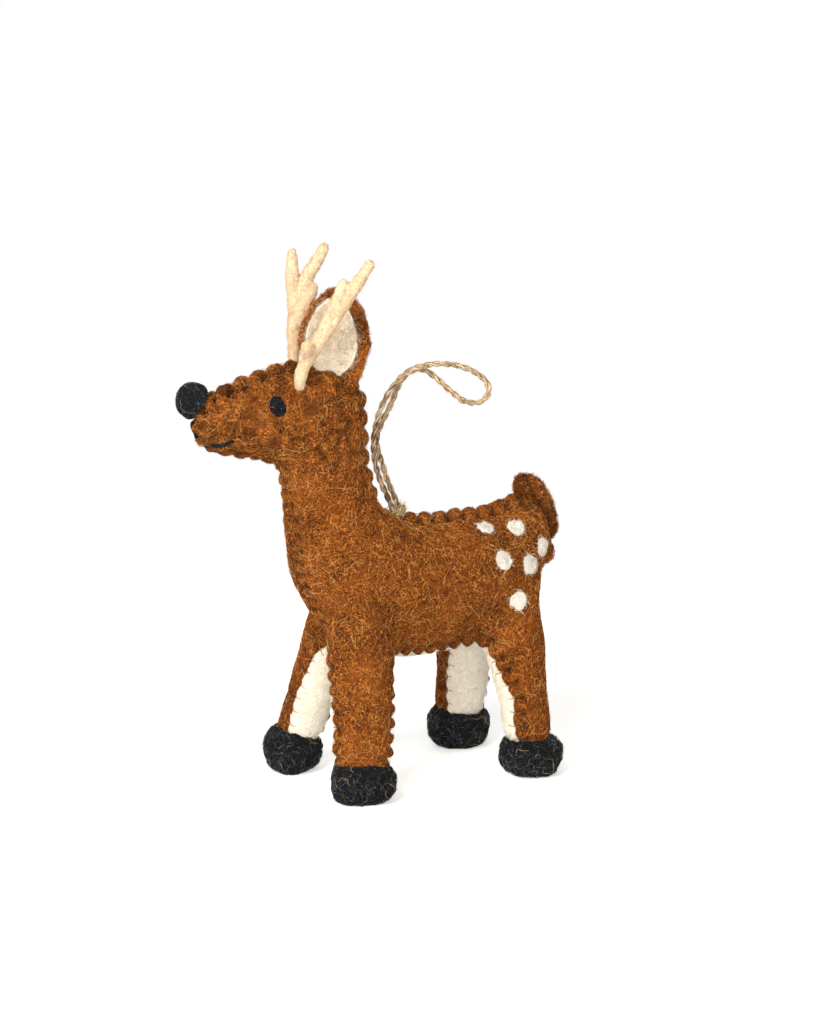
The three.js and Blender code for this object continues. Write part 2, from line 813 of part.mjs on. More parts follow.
// Tail
const tailBack = bodyLength - chestAhead;
const tailRows = tailShares.map(([back, rise, wide, cup]) => ({
  spine: new THREE.Vector3(tailBack + back * tailHeight, 0, tailFoot + rise * tailHeight),
  across: new THREE.Vector3(0, 1, 0),
  facing: new THREE.Vector3(-1, 0, 0),
  halfWidth: wide * tailWidth,
  shift: 0,
  cup: cup * tailCup,
  cupWidth: wide * tailWidth,
}));
const tail = leafSolid(leaf(tailRows, tailCells, feltThickness, -feltThickness), 1);
addPiece('tail', tail.subtract(clearOutside), brownFelt);

// Knot and hanging loop
const knotX = knotPlaceShare * bodyLength - chestAhead;
const backCaster = new THREE.Raycaster(new THREE.Vector3(knotX, 0, overrun * 3), new THREE.Vector3(0, 0, -1));
const knotZ = backCaster.intersectObject(feltTarget)[0].point.z - knotSinkShare * knotDiameter;
const knotHalf = knotDiameter / 2;
const knot = placed(ball(knotHalf, knotHalf, knotHalf), knotX, 0, knotZ).subtract(clearOutside);
addPiece('loop_knot', knot, juteTwine);

const loopPath = new THREE.CatmullRomCurve3(loopRoute.map((point) => new THREE.Vector3(...point)));
const loop = new THREE.Mesh(
  new THREE.ExtrudeGeometry(
    roundOutline(twineDiameter, twineSides),
    { steps: twineSteps, extrudePath: loopPath },
  ),
  juteTwine,
);
loop.name = 'hanging_loop';
loop.position.set(knotX, 0, knotZ);

// The origin is on the floor under the middle of the deer, leaving the loop aside
const span = new THREE.Box3().setFromObject(ornament);
ornament.add(loop);
ornament.position.x = -(span.min.x + span.max.x) / 2;

export default ornament;
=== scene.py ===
# A felt christmas ornament: a standing reindeer of thick wool felt, whip-stitched over wool
# filling, with needle-felted antlers, hooves and spots, and a loop of jute twine on its back.
# Metres, +Z up. The deer looks along -X and its left side is at -Y.
import json
import math

import bmesh
import bpy
import numpy as np
from mathutils import Matrix, Quaternion, Vector, noise
from mathutils.bvhtree import BVHTree
from mathutils.kdtree import KDTree


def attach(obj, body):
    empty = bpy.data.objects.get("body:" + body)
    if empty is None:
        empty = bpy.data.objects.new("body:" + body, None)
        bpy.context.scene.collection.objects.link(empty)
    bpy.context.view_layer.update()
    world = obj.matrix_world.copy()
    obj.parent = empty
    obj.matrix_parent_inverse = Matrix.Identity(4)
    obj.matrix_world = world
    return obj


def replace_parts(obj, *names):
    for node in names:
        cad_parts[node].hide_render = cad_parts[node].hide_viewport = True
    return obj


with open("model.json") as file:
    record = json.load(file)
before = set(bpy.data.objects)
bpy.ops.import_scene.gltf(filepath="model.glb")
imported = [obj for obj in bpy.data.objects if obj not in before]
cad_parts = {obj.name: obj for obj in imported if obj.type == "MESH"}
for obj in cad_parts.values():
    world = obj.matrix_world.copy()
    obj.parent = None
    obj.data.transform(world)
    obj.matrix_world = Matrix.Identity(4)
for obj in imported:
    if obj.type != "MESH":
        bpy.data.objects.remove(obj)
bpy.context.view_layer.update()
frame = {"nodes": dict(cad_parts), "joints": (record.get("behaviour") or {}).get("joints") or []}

MM = 0.001
scene = bpy.context.scene
nodes = frame["nodes"]

# Camera: a long lens at the photograph's angle, level with the deer's chest.
camera_azimuth = math.radians(-31.4)
camera_elevation = math.radians(11.4)
camera_distance = 1000 * MM
camera_target = Vector((8.16, 0, 65.47)) * MM
camera_lens = 144
nearest_seen = 10 * MM


def placed(name, data):
    """A new object in the scene."""
    made = bpy.data.objects.new(name, data)
    scene.collection.objects.link(made)
    return made


camera = placed("camera", bpy.data.cameras.new("camera"))
scene.camera = camera
camera.data.lens = camera_lens
camera.data.clip_start = nearest_seen
backwards = Vector((
    math.sin(camera_azimuth) * math.cos(camera_elevation),
    -math.cos(camera_azimuth) * math.cos(camera_elevation),
    math.sin(camera_elevation),
))
camera.location = camera_target + backwards * camera_distance
camera.rotation_euler = (-backwards).to_track_quat("-Z", "Y").to_euler()


# Studio: a white paper floor that fades into a white world, one large soft lamp from the upper
# left, a low one from the front and one from the back. The camera sees the world as plain white.
floor_colour = "#F6F6F5"
floor_glow = 0.45
floor_fade = (100 * MM, 330 * MM)
floor_half = 3.0
plain_white = "#FFFFFF"
lamp_colour = "#FFFBF4"
sky_strength = 0.4


def linear(colour, alpha=1.0):
    """A colour written as sRGB hex, turned to the linear values that Blender works in."""
    parts = [int(colour[place:place + 2], 16) / 255 for place in (1, 3, 5)]
    return [p / 12.92 if p <= 0.04045 else ((p + 0.055) / 1.055) ** 2.4 for p in parts] + [alpha]


def add(tree, kind, inputs=(), **settings):
    """Adds a node. Its inputs, by name or in order, are values, or sockets or nodes to link."""
    made = tree.nodes.new(kind)
    for name, value in settings.items():
        setattr(made, name, value)
    for name, value in inputs.items() if isinstance(inputs, dict) else enumerate(inputs):
        if isinstance(value, bpy.types.Node):
            value = value.outputs[0]
        if isinstance(value, bpy.types.NodeSocket):
            tree.links.new(value, made.inputs[name])
        else:
            made.inputs[name].default_value = value
    return made


def emptied(owner):
    """The node tree of a material or of the world, with nothing in it yet."""
    owner.use_nodes = True
    owner.node_tree.nodes.clear()
    return owner.node_tree


scene.view_settings.view_transform = "Standard"
scene.world = bpy.data.worlds.new("studio")
tree = emptied(scene.world)
path = add(tree, "ShaderNodeLightPath").outputs
seen = add(tree, "ShaderNodeMath", (path["Is Camera Ray"], path["Is Glossy Ray"]), operation="MAXIMUM")
seen = add(tree, "ShaderNodeMath", (seen, path["Is Transmission Ray"]), operation="MAXIMUM")
strength = add(tree, "ShaderNodeMapRange", {"Value": seen, "To Min": sky_strength, "To Max": 1.0})
shine = add(tree, "ShaderNodeBackground", {"Color": linear(plain_white), "Strength": strength})
add(tree, "ShaderNodeOutputWorld", {"Surface": shine})

floor_mesh = bpy.data.meshes.new("floor")
floor_mesh.from_pydata(
    [(x * floor_half, y * floor_half, 0) for x, y in ((-1, -1), (1, -1), (1, 1), (-1, 1))],
    [], [(0, 1, 2, 3)],
)
placed("floor", floor_mesh)
paper = bpy.data.materials.new("matt_white_paper")
floor_mesh.materials.append(paper)
tree = emptied(paper)
path = add(tree, "ShaderNodeLightPath").outputs
lit = add(tree, "ShaderNodeBsdfDiffuse", {"Color": linear(floor_colour)})
glow_share = add(tree, "ShaderNodeMath", (path["Is Camera Ray"], floor_glow), operation="MULTIPLY")
glow = add(tree, "ShaderNodeEmission", {"Color": linear(plain_white), "Strength": glow_share})
near = add(tree, "ShaderNodeAddShader", (lit, glow))
place = add(tree, "ShaderNodeTexCoord").outputs["Object"]
away = add(tree, "ShaderNodeVectorMath", (place,), operation="LENGTH").outputs["Value"]
fade = add(tree, "ShaderNodeMapRange", {
    "Value": away, "From Min": floor_fade[0], "From Max": floor_fade[1], "To Max": path["Is Camera Ray"],
})
far = add(tree, "ShaderNodeEmission", {"Color": linear(plain_white)})
mixed = add(tree, "ShaderNodeMixShader", (fade, near, far))
add(tree, "ShaderNodeOutputMaterial", {"Surface": mixed})

for name, place, size, power in (
    ("key_lamp", (-1.05, -0.7, 1.0), 0.6, 24.0),
    ("low_lamp", (-0.72, -1.19, 0.3), 0.5, 11.0),
    ("back_lamp", (0.2, 1.2, 0.9), 0.8, 5.0),
):
    light = bpy.data.lights.new(name, "AREA")
    light.size = size
    light.energy = power
    light.color = linear(lamp_colour)[:3]
    lamp = placed(name, light)
    lamp.location = place
    lamp.rotation_euler = (camera_target - Vector(place)).to_track_quat("-Z", "Y").to_euler()


# Felt skin: two side panels of brown wool felt and a cream gusset under the belly and down the
# inside of the legs, each 1.8 mm thick. They are whip-stitched edge to edge over the filling,
# and every stitch pulls the edges in, so that the felt stands up in a scallop between two.
felt_thickness = 1.8 * MM
coarse_voxel = 1.1 * MM
fine_voxel = 0.5 * MM
seam_closing = 0.28 * MM
stitch_pitch = 3.5 * MM


def opened(*meshes):
    """Copies of meshes, put together in one shape that can be cut and joined."""
    shape = bmesh.new()
    for mesh in meshes:
        shape.from_mesh(mesh)
    return shape


def closed(shape, mesh=None):
    """Writes a shape back to a mesh, or to a new one."""
    mesh = mesh or bpy.data.meshes.new("shape")
    shape.to_mesh(mesh)
    shape.free()
    return mesh


def taken(piece):
    """What a scratch object's modifiers make, as a plain mesh. The object is removed."""
    mesh = bpy.data.meshes.new_from_object(piece.evaluated_get(bpy.context.evaluated_depsgraph_get()))
    bpy.data.objects.remove(piece)
    return mesh


def merged_copy(names, grow=0):
    """One mesh of copies of CAD nodes, their corners merged and their skin moved outwards."""
    shape = opened(*(nodes[name].data for name in names))
    bmesh.ops.remove_doubles(shape, verts=shape.verts, dist=0.001 * MM)
    shape.normal_update()
    for corner in shape.verts:
        corner.co += corner.normal * grow
    return closed(shape)


def remeshed(mesh, voxel):
    """The outer surface of a mesh, laid out again in small even faces."""
    piece = placed("remesh", mesh)
    modifier = piece.modifiers.new("remesh", "REMESH")
    modifier.mode = "VOXEL"
    modifier.voxel_size = voxel
    result = taken(piece)
    bpy.data.meshes.remove(mesh)
    return result


def points_of(mesh):
    """A mesh's points, one row each."""
    places = np.zeros(len(mesh.vertices) * 3, np.float32)
    mesh.vertices.foreach_get("co", places)
    return places.reshape(-1, 3).astype(float)


def normals_of(mesh):
    """The way outwards at each point of a mesh."""
    found = np.zeros(len(mesh.vertices) * 3, np.float32)
    mesh.vertex_normals.foreach_get("vector", found)
    return found.reshape(-1, 3).astype(float)


def set_points(mesh, places):
    """Moves a mesh's points to these places."""
    mesh.vertices.foreach_set("co", places.astype(np.float32).ravel())
    mesh.update()


def relaxed(mesh, values, rounds, share=0.5):
    """Values on a mesh's points, each drawn towards the mean of its neighbours, round by round."""
    edges = np.zeros(len(mesh.edges) * 2, np.int32)
    mesh.edges.foreach_get("vertices", edges)
    first, second = edges.reshape(-1, 2).T
    count = np.bincount(edges, minlength=len(mesh.vertices))[:, None]
    for _ in range(rounds):
        total = np.zeros_like(values)
        for axis in range(values.shape[1]):
            total[:, axis] += np.bincount(first, values[second, axis], len(values))
            total[:, axis] += np.bincount(second, values[first, axis], len(values))
        values = values * (1 - share) + total / count * share
    return values


def outer_island(mesh):
    """Keeps only the largest connected part of a mesh, and drops any cavity inside it."""
    shape = opened(mesh)
    left = set(shape.verts)
    largest = []
    while left:
        island = [left.pop()]
        for corner in island:
            for edge in corner.link_edges:
                other = edge.other_vert(corner)
                if other in left:
                    left.remove(other)
                    island.append(other)
        largest = max(largest, island, key=len)
    keep = set(largest)
    bmesh.ops.delete(shape, geom=[v for v in shape.verts if v not in keep], context="VERTS")
    return closed(shape, mesh)


skin_nodes = ["left_side_panel", "right_side_panel", "belly_gusset"]
filling_nodes = [name for name in nodes if name.endswith("stuffing")]
body = outer_island(remeshed(merged_copy(skin_nodes + filling_nodes, seam_closing), coarse_voxel))
set_points(body, relaxed(body, points_of(body), 14))
filling_mesh = body.copy()
body = remeshed(body, fine_voxel)
set_points(body, relaxed(body, points_of(body), 6))


def surface_of(mesh):
    """A mesh's faces, in a form that finds the nearest place on them."""
    return BVHTree.FromPolygons([c.co for c in mesh.vertices], [f.vertices for f in mesh.polygons])


def distance_to(surface, places):
    """How far each place is from a surface."""
    return np.array([surface.find_nearest(place)[3] for place in places.tolist()])


def tree_of(places):
    """Places, in a form that finds the nearest few of them."""
    tree = KDTree(len(places))
    for index, place in enumerate(places):
        tree.insert(place, index)
    tree.balance()
    return tree


skin_surfaces = [surface_of(nodes[name].data) for name in skin_nodes]


# The filling swells the felt between its seams: a cloth simulation with the seams held still. It
# runs on a copy 25 times as large, because the solver's forces suit things of that size.
pad_voxel = 1.9 * MM
pad_scale = 25
pad_pressure = 6
pad_frames = 20
pad_swell = 0.7 * MM
seam_hold = 1.0 * MM
carried_from = 4


def swollen(mesh):
    """How far the filling pushes each point of a mesh out, and where those points are."""
    pad_mesh = remeshed(mesh.copy(), pad_voxel)
    places = relaxed(pad_mesh, points_of(pad_mesh), 3)
    away = [distance_to(surface, places) for surface in skin_surfaces]
    nearest_side = np.minimum(away[0], away[1])
    on_gusset = away[2] < nearest_side
    to_seam = np.where(on_gusset, 1, np.minimum(abs(away[0] - away[1]), 1))
    to_seam = np.minimum(to_seam, abs(away[2] - nearest_side))
    set_points(pad_mesh, places * pad_scale)
    pad = placed("pad", pad_mesh)
    held = pad.vertex_groups.new(name="held")
    held.add(np.nonzero(to_seam < seam_hold)[0].tolist(), 1.0, "REPLACE")
    cloth = pad.modifiers.new("cloth", "CLOTH")
    cloth.settings.vertex_group_mass = held.name
    cloth.settings.use_pressure = True
    cloth.settings.uniform_pressure_force = pad_pressure
    cloth.settings.effector_weights.gravity = 0
    cloth.point_cache.frame_end = pad_frames
    for frame_number in range(1, pad_frames + 1):
        scene.frame_set(frame_number)
    moved = points_of(taken(pad)) / pad_scale - places
    scene.frame_set(1)
    far = np.linalg.norm(moved, axis=1)[:, None]
    return places, moved * np.minimum(1, pad_swell / np.maximum(far, pad_swell / 100))


def carried(places, from_places, moved):
    """A movement known at some places, spread to others from the nearest few."""
    tree = tree_of(from_places)
    result = np.zeros_like(places)
    for row, place in enumerate(places.tolist()):
        near = tree.find_n(place, carried_from)
        weights = np.array([1 / (found[2] + seam_hold / 10) for found in near])
        result[row] = weights @ moved[[found[1] for found in near]] / weights.sum()
    return result


pad_places, pad_moved = swollen(filling_mesh)
set_points(body, points_of(body) + carried(points_of(body), pad_places, pad_moved))
set_points(body, relaxed(body, points_of(body), 4))

# The filling has settled: the back sags a little, most behind the loop and before the tail, and
# the rump is drawn in under the tail.
back_sag = 1.1 * MM
sags = [(0.9 * MM, 8, 6), (1.2 * MM, 32, 6)]
rump_draw = 2.4 * MM


def rise(value, start, end):
    """A smooth step from 0 to 1 between two values."""
    share = np.clip((value - start) / (end - start), 0, 1)
    return share * share * (3 - 2 * share)


def bell(value, width):
    """1 at zero, fading both ways to almost nothing at twice the width."""
    return np.exp(-((value / width) ** 2))


def settled(places):
    """Where places of the stuffed body end up when the filling has settled."""
    x, _, z = (places / MM).T
    sag = back_sag + sum(depth * bell(x - middle, width) for depth, middle, width in sags)
    drawn_in = rump_draw * rise(x, 35, 43) * rise(z, 32, 41) * (1 - rise(z, 50, 56))
    sunk = sag * rise(x, -1, 4) * (1 - rise(x, 38, 46)) * rise(z, 50, 63)
    return places - np.stack([drawn_in, 0 * sunk, sunk], axis=1)


for mesh in (body, filling_mesh):
    set_points(mesh, settled(points_of(mesh)))

# Where the three pieces of the skin meet, read from the CAD panels: a value on every point that
# passes through zero on the seam. A point that is very near the seam is taken as on it.
snap_share = 0.15


def cut_along(shape, layer, within=None):
    """Cuts a mesh along the line where a layer's value passes through zero."""
    def crosses(edge):
        if within and min(edge.verts[0][within], edge.verts[1][within]) < 0:
            return False
        return edge.verts[0][layer] * edge.verts[1][layer] < 0

    for edge in shape.edges:
        if crosses(edge):
            near = min(edge.verts, key=lambda corner: abs(corner[layer]))
            if abs(near[layer]) < snap_share * sum(abs(corner[layer]) for corner in edge.verts):
                near[layer] = 0
    for edge in [edge for edge in shape.edges if crosses(edge)]:
        first, second = edge.verts
        share = first[layer] / (first[layer] - second[layer])
        made = bmesh.utils.edge_split(edge, first, share)[1]
        made[layer] = 0
    on_line = [v for v in shape.verts if v[layer] == 0 and not (within and v[within] < 0)]
    bmesh.ops.connect_verts(shape, verts=on_line)


places = points_of(body)
left_away, right_away, gusset_away = (distance_to(surface, places) for surface in skin_surfaces)
shape = opened(body)
side_layer = shape.verts.layers.float.new("side")
gusset_layer = shape.verts.layers.float.new("gusset")
for corner, side, gusset in zip(
    shape.verts, left_away - right_away, gusset_away - np.minimum(left_away, right_away)
):
    corner[side_layer] = side
    corner[gusset_layer] = gusset
cut_along(shape, gusset_layer)
cut_along(shape, side_layer, within=gusset_layer)


def panel_of(face):
    """Which piece of felt a face belongs to: 0 left, 1 right, 2 gusset."""
    if sum(corner[gusset_layer] for corner in face.verts) < 0:
        return 2
    return int(sum(corner[side_layer] for corner in face.verts) > 0)


panels = [panel_of(face) for face in shape.faces]
shape.faces.index_update()
shape.verts.index_update()
seam_links = {}
for edge in shape.edges:
    meeting = {panels[face.index] for face in edge.link_faces}
    if len(meeting) == 2:
        for corner in edge.verts:
            seam_links.setdefault(corner.index, []).append(edge.other_vert(corner).index)
closed(shape, body)


# The seams as even lines, from one junction to the next, with a stitch at every whole number.
# A run of no more than a dozen points is too short to be a seam.
seam_step = 0.1 * MM
shortest_seam = 12
line_rounds = 4
back_wider = 0.24
head_wider = 0.24
nape_wider = 0.35


def chains_of(links):
    """The seam's edges as runs of points between its ends and junctions."""
    left = {frozenset((a, b)) for a in links for b in links[a]}
    ends = [point for point in links if len(links[point]) != 2]
    runs = []
    for start in ends:
        for step in links[start]:
            run = [start, step]
            if frozenset(run) not in left:
                continue
            left.discard(frozenset(run))
            while len(links[run[-1]]) == 2:
                onward = [p for p in links[run[-1]] if p != run[-2]][0]
                left.discard(frozenset((run[-1], onward)))
                run.append(onward)
            runs.append(run)
    return runs


places = points_of(body)
gusset_values = np.zeros(len(places), np.float32)
body.attributes["gusset"].data.foreach_get("value", gusset_values)


def back_share(places):
    """1 along the back, where both edges stand up in a ridge, and 0 elsewhere."""
    x, _, z = (places / MM).T
    return rise(z, 56, 60) * rise(x, 2, 6) * (1 - rise(x, 40, 44))


def head_share(places):
    """1 on top of the head and the muzzle, and 0 elsewhere."""
    x, _, z = (places / MM).T
    return rise(z, 88, 93) * (1 - rise(x, -12, -8))


def nape_share(places):
    """1 down the back of the neck, and 0 elsewhere."""
    x, _, z = (places / MM).T
    return rise(z, 68, 72) * rise(x, -12, -7)


def pitch_at(places):
    """How far apart the stitches are: wider on the back, nape and head than elsewhere."""
    wider = nape_wider * nape_share(places) + back_wider * back_share(places)
    return stitch_pitch * (1 + wider + head_wider * head_share(places))


seams = []
first = 0
for run in chains_of(seam_links):
    if len(run) <= shortest_seam:
        continue
    line = places[run]
    for _ in range(line_rounds):
        line[1:-1] = line[1:-1] / 2 + (line[:-2] + line[2:]) / 4
    along = np.concatenate([[0], np.cumsum(np.linalg.norm(np.diff(line, axis=0), axis=1))])
    even = np.linspace(0, along[-1], int(along[-1] / seam_step) + 2)
    even_line = np.stack([np.interp(even, along, line[:, axis]) for axis in range(3)], axis=1)
    passed = np.cumsum(1 / pitch_at(even_line))
    passed = (passed - passed[0]) / (passed[-1] - passed[0])
    stitches = max(1, round(float(np.sum(seam_step / pitch_at(even_line)))))
    seams.append({"line": even_line, "count": first + passed * stitches})
    first += stitches + 1
seam_places = np.concatenate([seam["line"] for seam in seams])
seam_counts = np.concatenate([seam["count"] for seam in seams])
seam_forwards = np.concatenate([np.gradient(seam["line"], axis=0) for seam in seams]) / seam_step
seam_tree = tree_of(seam_places)
nearest = [seam_tree.find(place) for place in places.tolist()]
seam_away = np.array([found[2] for found in nearest])
seam_rows = [found[1] for found in nearest]
seam_numbers = seam_counts[seam_rows]

# The thread leans as it goes over the edge, most on the back and the head
top_lean = math.tan(math.radians(-24))
leg_lean = math.tan(math.radians(-6))


def lean_at(height):
    """How far a stitch leans along the seam for its way across it."""
    return leg_lean + (top_lean - leg_lean) * rise(height / MM, 52, 60)


sideways = np.cross(normals_of(body), seam_forwards[seam_rows])
across_seam = np.sum((places - seam_places[seam_rows]) * sideways, axis=1)
seam_numbers = seam_numbers + lean_at(places[:, 2]) * across_seam / pitch_at(places)
seam_numbers = np.maximum(seam_numbers, 0)

# The relief of a whip-stitched seam: a lip that bulges between two stitches, a furrow across it
# under each stitch, and a pit in the brown felt where the thread goes in. It is strongest on top
# of the muzzle, down the nape and behind the legs, and faint on the throat and the cream felt.
lip_height = 0.95 * MM
lip_width = 1.6 * MM
furrow_depth = 1.15 * MM
furrow_width = 0.6 * MM
furrow_reach = 2.6 * MM
flank_middle = 2.1 * MM
flank_width = 1.3 * MM
ridge_height = 1.4 * MM
ridge_width = 2.3 * MM
pit_depth = 1.2 * MM
pit_width = 0.75 * MM
crease_depth = 0.4 * MM
crease_width = 0.28 * MM
hand = np.random.default_rng(7)


def belly_share(places):
    """1 round the opening between the legs, and 0 elsewhere."""
    z = places[:, 2] / MM
    return rise(z, 28, 34) * (1 - rise(z, 44, 50))


def seam_strength(places, facing):
    """How strongly the stitches pull at each place, from 0 to 1."""
    x, _, z = (places / MM).T
    legs = 1 - rise(z, 31, 36)
    head_top = head_share(places)
    nape = nape_share(places)
    chin = rise(z, 74, 79) * (1 - head_top) * (1 - nape)
    throat = rise(z, 42, 50) * (1 - rise(z, 70, 76)) * (1 - rise(x, -18, -12))
    more = 0.35 * back_share(places) + 0.3 * belly_share(places)
    strength = 0.75 + 0.55 * head_top + 0.35 * nape + 0.1 * chin - 0.25 * throat + more
    return np.clip(strength + legs * (0.5 * rise(facing[:, 0], -0.1, 0.5) - 0.15), 0, 1.3)


facing = normals_of(body)
strength = seam_strength(places, facing)
stitch_of = np.round(seam_numbers).astype(int)
pull = (0.75 + 0.5 * hand.random(stitch_of.max() + 2))[stitch_of]
swell = (0.7 + 0.5 * hand.random(stitch_of.max() + 2))[np.floor(seam_numbers).astype(int)]
seam_phase = seam_numbers % 1
from_stitch = np.minimum(seam_phase, 1 - seam_phase) * pitch_at(places)
bulge = np.sin(np.pi * seam_phase) ** 0.8
brown_side = rise(gusset_values / MM, -0.3, 0.1)
back, head_top = back_share(places), head_share(places)
top = np.maximum(back, head_top)
near_seam = bell(seam_away, lip_width)
relief = lip_height * strength * swell * near_seam * bulge * (0.3 + 0.7 * brown_side)
relief *= 1 - 0.35 * head_top - 0.6 * back
reach = furrow_reach * (1 + 0.45 * top + 0.4 * belly_share(places))
flank = (0.3 - 0.15 * back) * near_seam + bell(seam_away - flank_middle, flank_width)
furrow = bell(from_stitch, furrow_width) * pull
furrow *= (1 - top) * bell(seam_away / reach, 1) ** 2 + top * flank
furrow *= 0.15 + 0.85 * brown_side
pit = bell(from_stitch, pit_width) * bell(seam_away - reach, pit_width) * pull * brown_side
crease = bell(seam_away, crease_width)
relief -= furrow_depth * (0.35 + 0.65 * strength) * (1 + 0.3 * top) * furrow
relief -= pit_depth * pit * (0.5 + 0.5 * strength)
relief -= crease_depth * crease
relief += ridge_height * back * bell(seam_away, ridge_width) * (0.85 + 0.15 * bulge)

# Felted wool is never quite even: shallow lumps a few millimetres across
lumps = [(0.22 * MM, 7 * MM), (0.09 * MM, 2.6 * MM)]


def lumpy(places, sizes, seed=0):
    """A smooth uneven value at each place, as wide and as high as the sizes say."""
    total = np.zeros(len(places))
    for row, (height, width) in enumerate(sizes):
        shift = Vector((seed * 3.7 + row * 11.3, seed * 1.9, seed * 5.1))
        total += [height * noise.noise(Vector(place) / width + shift) for place in places.tolist()]
    return total


relief += lumpy(places, lumps)

# Dimples that the felting needle left, most of them on the head
dimple_depth = 0.45 * MM
dimple_width = 2.3 * MM
head = rise(places[:, 2] / MM, 76, 82) * (1 - rise(places[:, 0] / MM, -14, -6))
dimple = rise(lumpy(places, [(1, dimple_width)], 4), 0.1 - 0.15 * head, 0.45 - 0.1 * head)
dimple *= brown_side * (0.35 + 0.65 * head)
relief -= dimple_depth * dimple
set_points(body, places + facing * relief[:, None])

# How deep each place lies in the stitches, kept on the mesh so that the felt is painted darker there, as
# painted shade in the dents
dent = 1.1 * pit + (0.8 + 0.5 * top) * furrow + 0.4 * crease + 0.6 * dimple


def set_dents_and_shade(mesh, values):
    """Keeps how dented a mesh is, or how deep in painted shade, at each point, from 0 to 1."""
    mesh.attributes.new("dent", "FLOAT", "POINT").data.foreach_set("value", values.astype(np.float32))


set_dents_and_shade(body, np.clip(dent, 0, 1))


# Felt as a material: matt carded wool, shrunk to a dense mat. Curly fibres lie in it every way,
# paler than the gaps between them, so the colour is mottled and the surface has a fine nap.
# The gaps' dark colour is painted shade, spread over the felt by a broad mottle.
felt_roughness = 0.92
felt_gloss = 0.15
felt_nap = 0.12 * MM
# Painted shade: the dark colour laid into the stitch pits, furrows, creases and dimples
painted_dent_shade = "#240E03"
curl_width = 1.8 * MM
strand_widths = (curl_width * 0.55, curl_width * 0.3)
mottle_width = 9 * MM
fibre_share = 0.55
dent_shade_share = 0.7


def new_material(name, colour, roughness, gloss=0.5, metal=0.0):
    """A material with a plain Principled shader, and its tree and shader for what comes on top."""
    material = bpy.data.materials.new(name)
    tree = emptied(material)
    shader = add(tree, "ShaderNodeBsdfPrincipled", {
        "Base Color": linear(colour), "Roughness": roughness, "Specular IOR Level": gloss, "Metallic": metal,
    })
    add(tree, "ShaderNodeOutputMaterial", {"Surface": shader})
    return material, tree, shader


def covered(tree, colour, over, amount, share):
    """A colour covered by another, as much as a share of an amount says."""
    part = add(tree, "ShaderNodeMath", (amount, share), operation="MULTIPLY")
    return add(tree, "ShaderNodeMix", {0: part, 6: colour, 7: linear(over)}, data_type="RGBA").outputs[2]


def felt(name, base, gap_shade, fibres, dents=None):
    """Felted wool of a base colour, with painted shade for the gaps between fibres, paler fibres, and painted
    shade in its dents.
    """
    material, tree, shader = new_material(name, base, felt_roughness, felt_gloss)
    place = add(tree, "ShaderNodeTexCoord").outputs["Object"]
    sway = add(tree, "ShaderNodeTexNoise", {"Vector": place, "Scale": 1 / curl_width, "Detail": 1.0})
    sway = add(tree, "ShaderNodeVectorMath", (sway.outputs["Color"], (0.5, 0.5, 0.5)), operation="SUBTRACT")
    sway = add(tree, "ShaderNodeVectorMath", {0: sway, "Scale": curl_width}, operation="SCALE")
    swept = add(tree, "ShaderNodeVectorMath", (place, sway))
    lines = []
    for width in strand_widths:
        cells = add(tree, "ShaderNodeTexNoise", {"Vector": swept, "Scale": 1 / width, "Detail": 0.0})
        middle = add(tree, "ShaderNodeMath", (cells, 0.5), operation="SUBTRACT")
        middle = add(tree, "ShaderNodeMath", (middle,), operation="ABSOLUTE")
        lines.append(add(tree, "ShaderNodeMapRange", {
            "Value": middle, "From Min": 0.015, "From Max": 0.06, "To Min": 1.0, "To Max": 0.0,
        }))
    strand = add(tree, "ShaderNodeMath", lines, operation="MAXIMUM")
    mottle = add(tree, "ShaderNodeTexNoise", {"Vector": place, "Scale": 1 / mottle_width, "Detail": 4.0})
    shade = add(tree, "ShaderNodeMapRange", {"Value": mottle, "From Min": 0.35, "From Max": 0.65})
    # Painted shade: the gap colour, mixed into the base by a broad mottle
    colour = add(tree, "ShaderNodeMix", {0: shade, 6: linear(gap_shade), 7: linear(base)}, data_type="RGBA")
    colour = covered(tree, colour.outputs[2], fibres, strand, fibre_share)
    # Painted shade: the felt is darkened where the dent attribute says it lies deep in a dent or a hollow
    if dents:
        depth = add(tree, "ShaderNodeAttribute", attribute_name="dent").outputs["Fac"]
        colour = covered(tree, colour, dents, depth, dent_shade_share)
    tree.links.new(colour, shader.inputs["Base Color"])
    nap = add(tree, "ShaderNodeBump", {"Height": strand, "Distance": felt_nap, "Strength": 1.0})
    tree.links.new(nap.outputs[0], shader.inputs["Normal"])
    return material


# Each felt's gap colour and dent colour are painted shade
brown = felt("brown_wool_felt", "#7C4013", "#3C1B05", "#B66B26", dents=painted_dent_shade)
cream = felt("cream_wool_felt", "#F2EADB", "#E6DAC6", "#FAF5EA", dents="#BFA07A")


# Side panels and gusset: each one cut of felt 1.8 mm thick. The panels are whip-stitched to each
# other along the back, nape, throat and face, and to the gusset down every leg.
seam_gap_share = 0.12


def finished(name, mesh, material, body="deer"):
    """A piece in the scene with its finish, carried by a body."""
    piece = placed(name, mesh)
    if material:
        mesh.materials.clear()
        mesh.materials.append(material)
    mesh.shade_smooth()
    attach(piece, body)
    return piece


def cut_panel(number):
    """The outer face of one panel, its edge drawn back a little from its neighbour's."""
    shape = opened(body)
    others = [face for face, panel in zip(list(shape.faces), panels) if panel != number]
    bmesh.ops.delete(shape, geom=others, context="FACES")
    for corner in [corner for corner in shape.verts if corner.is_boundary]:
        around = [edge.other_vert(corner) for edge in corner.link_edges]
        inner = [other.co for other in around if not other.is_boundary]
        if inner:
            corner.co = corner.co.lerp(sum(inner, Vector()) / len(inner), seam_gap_share)
    return closed(shape)


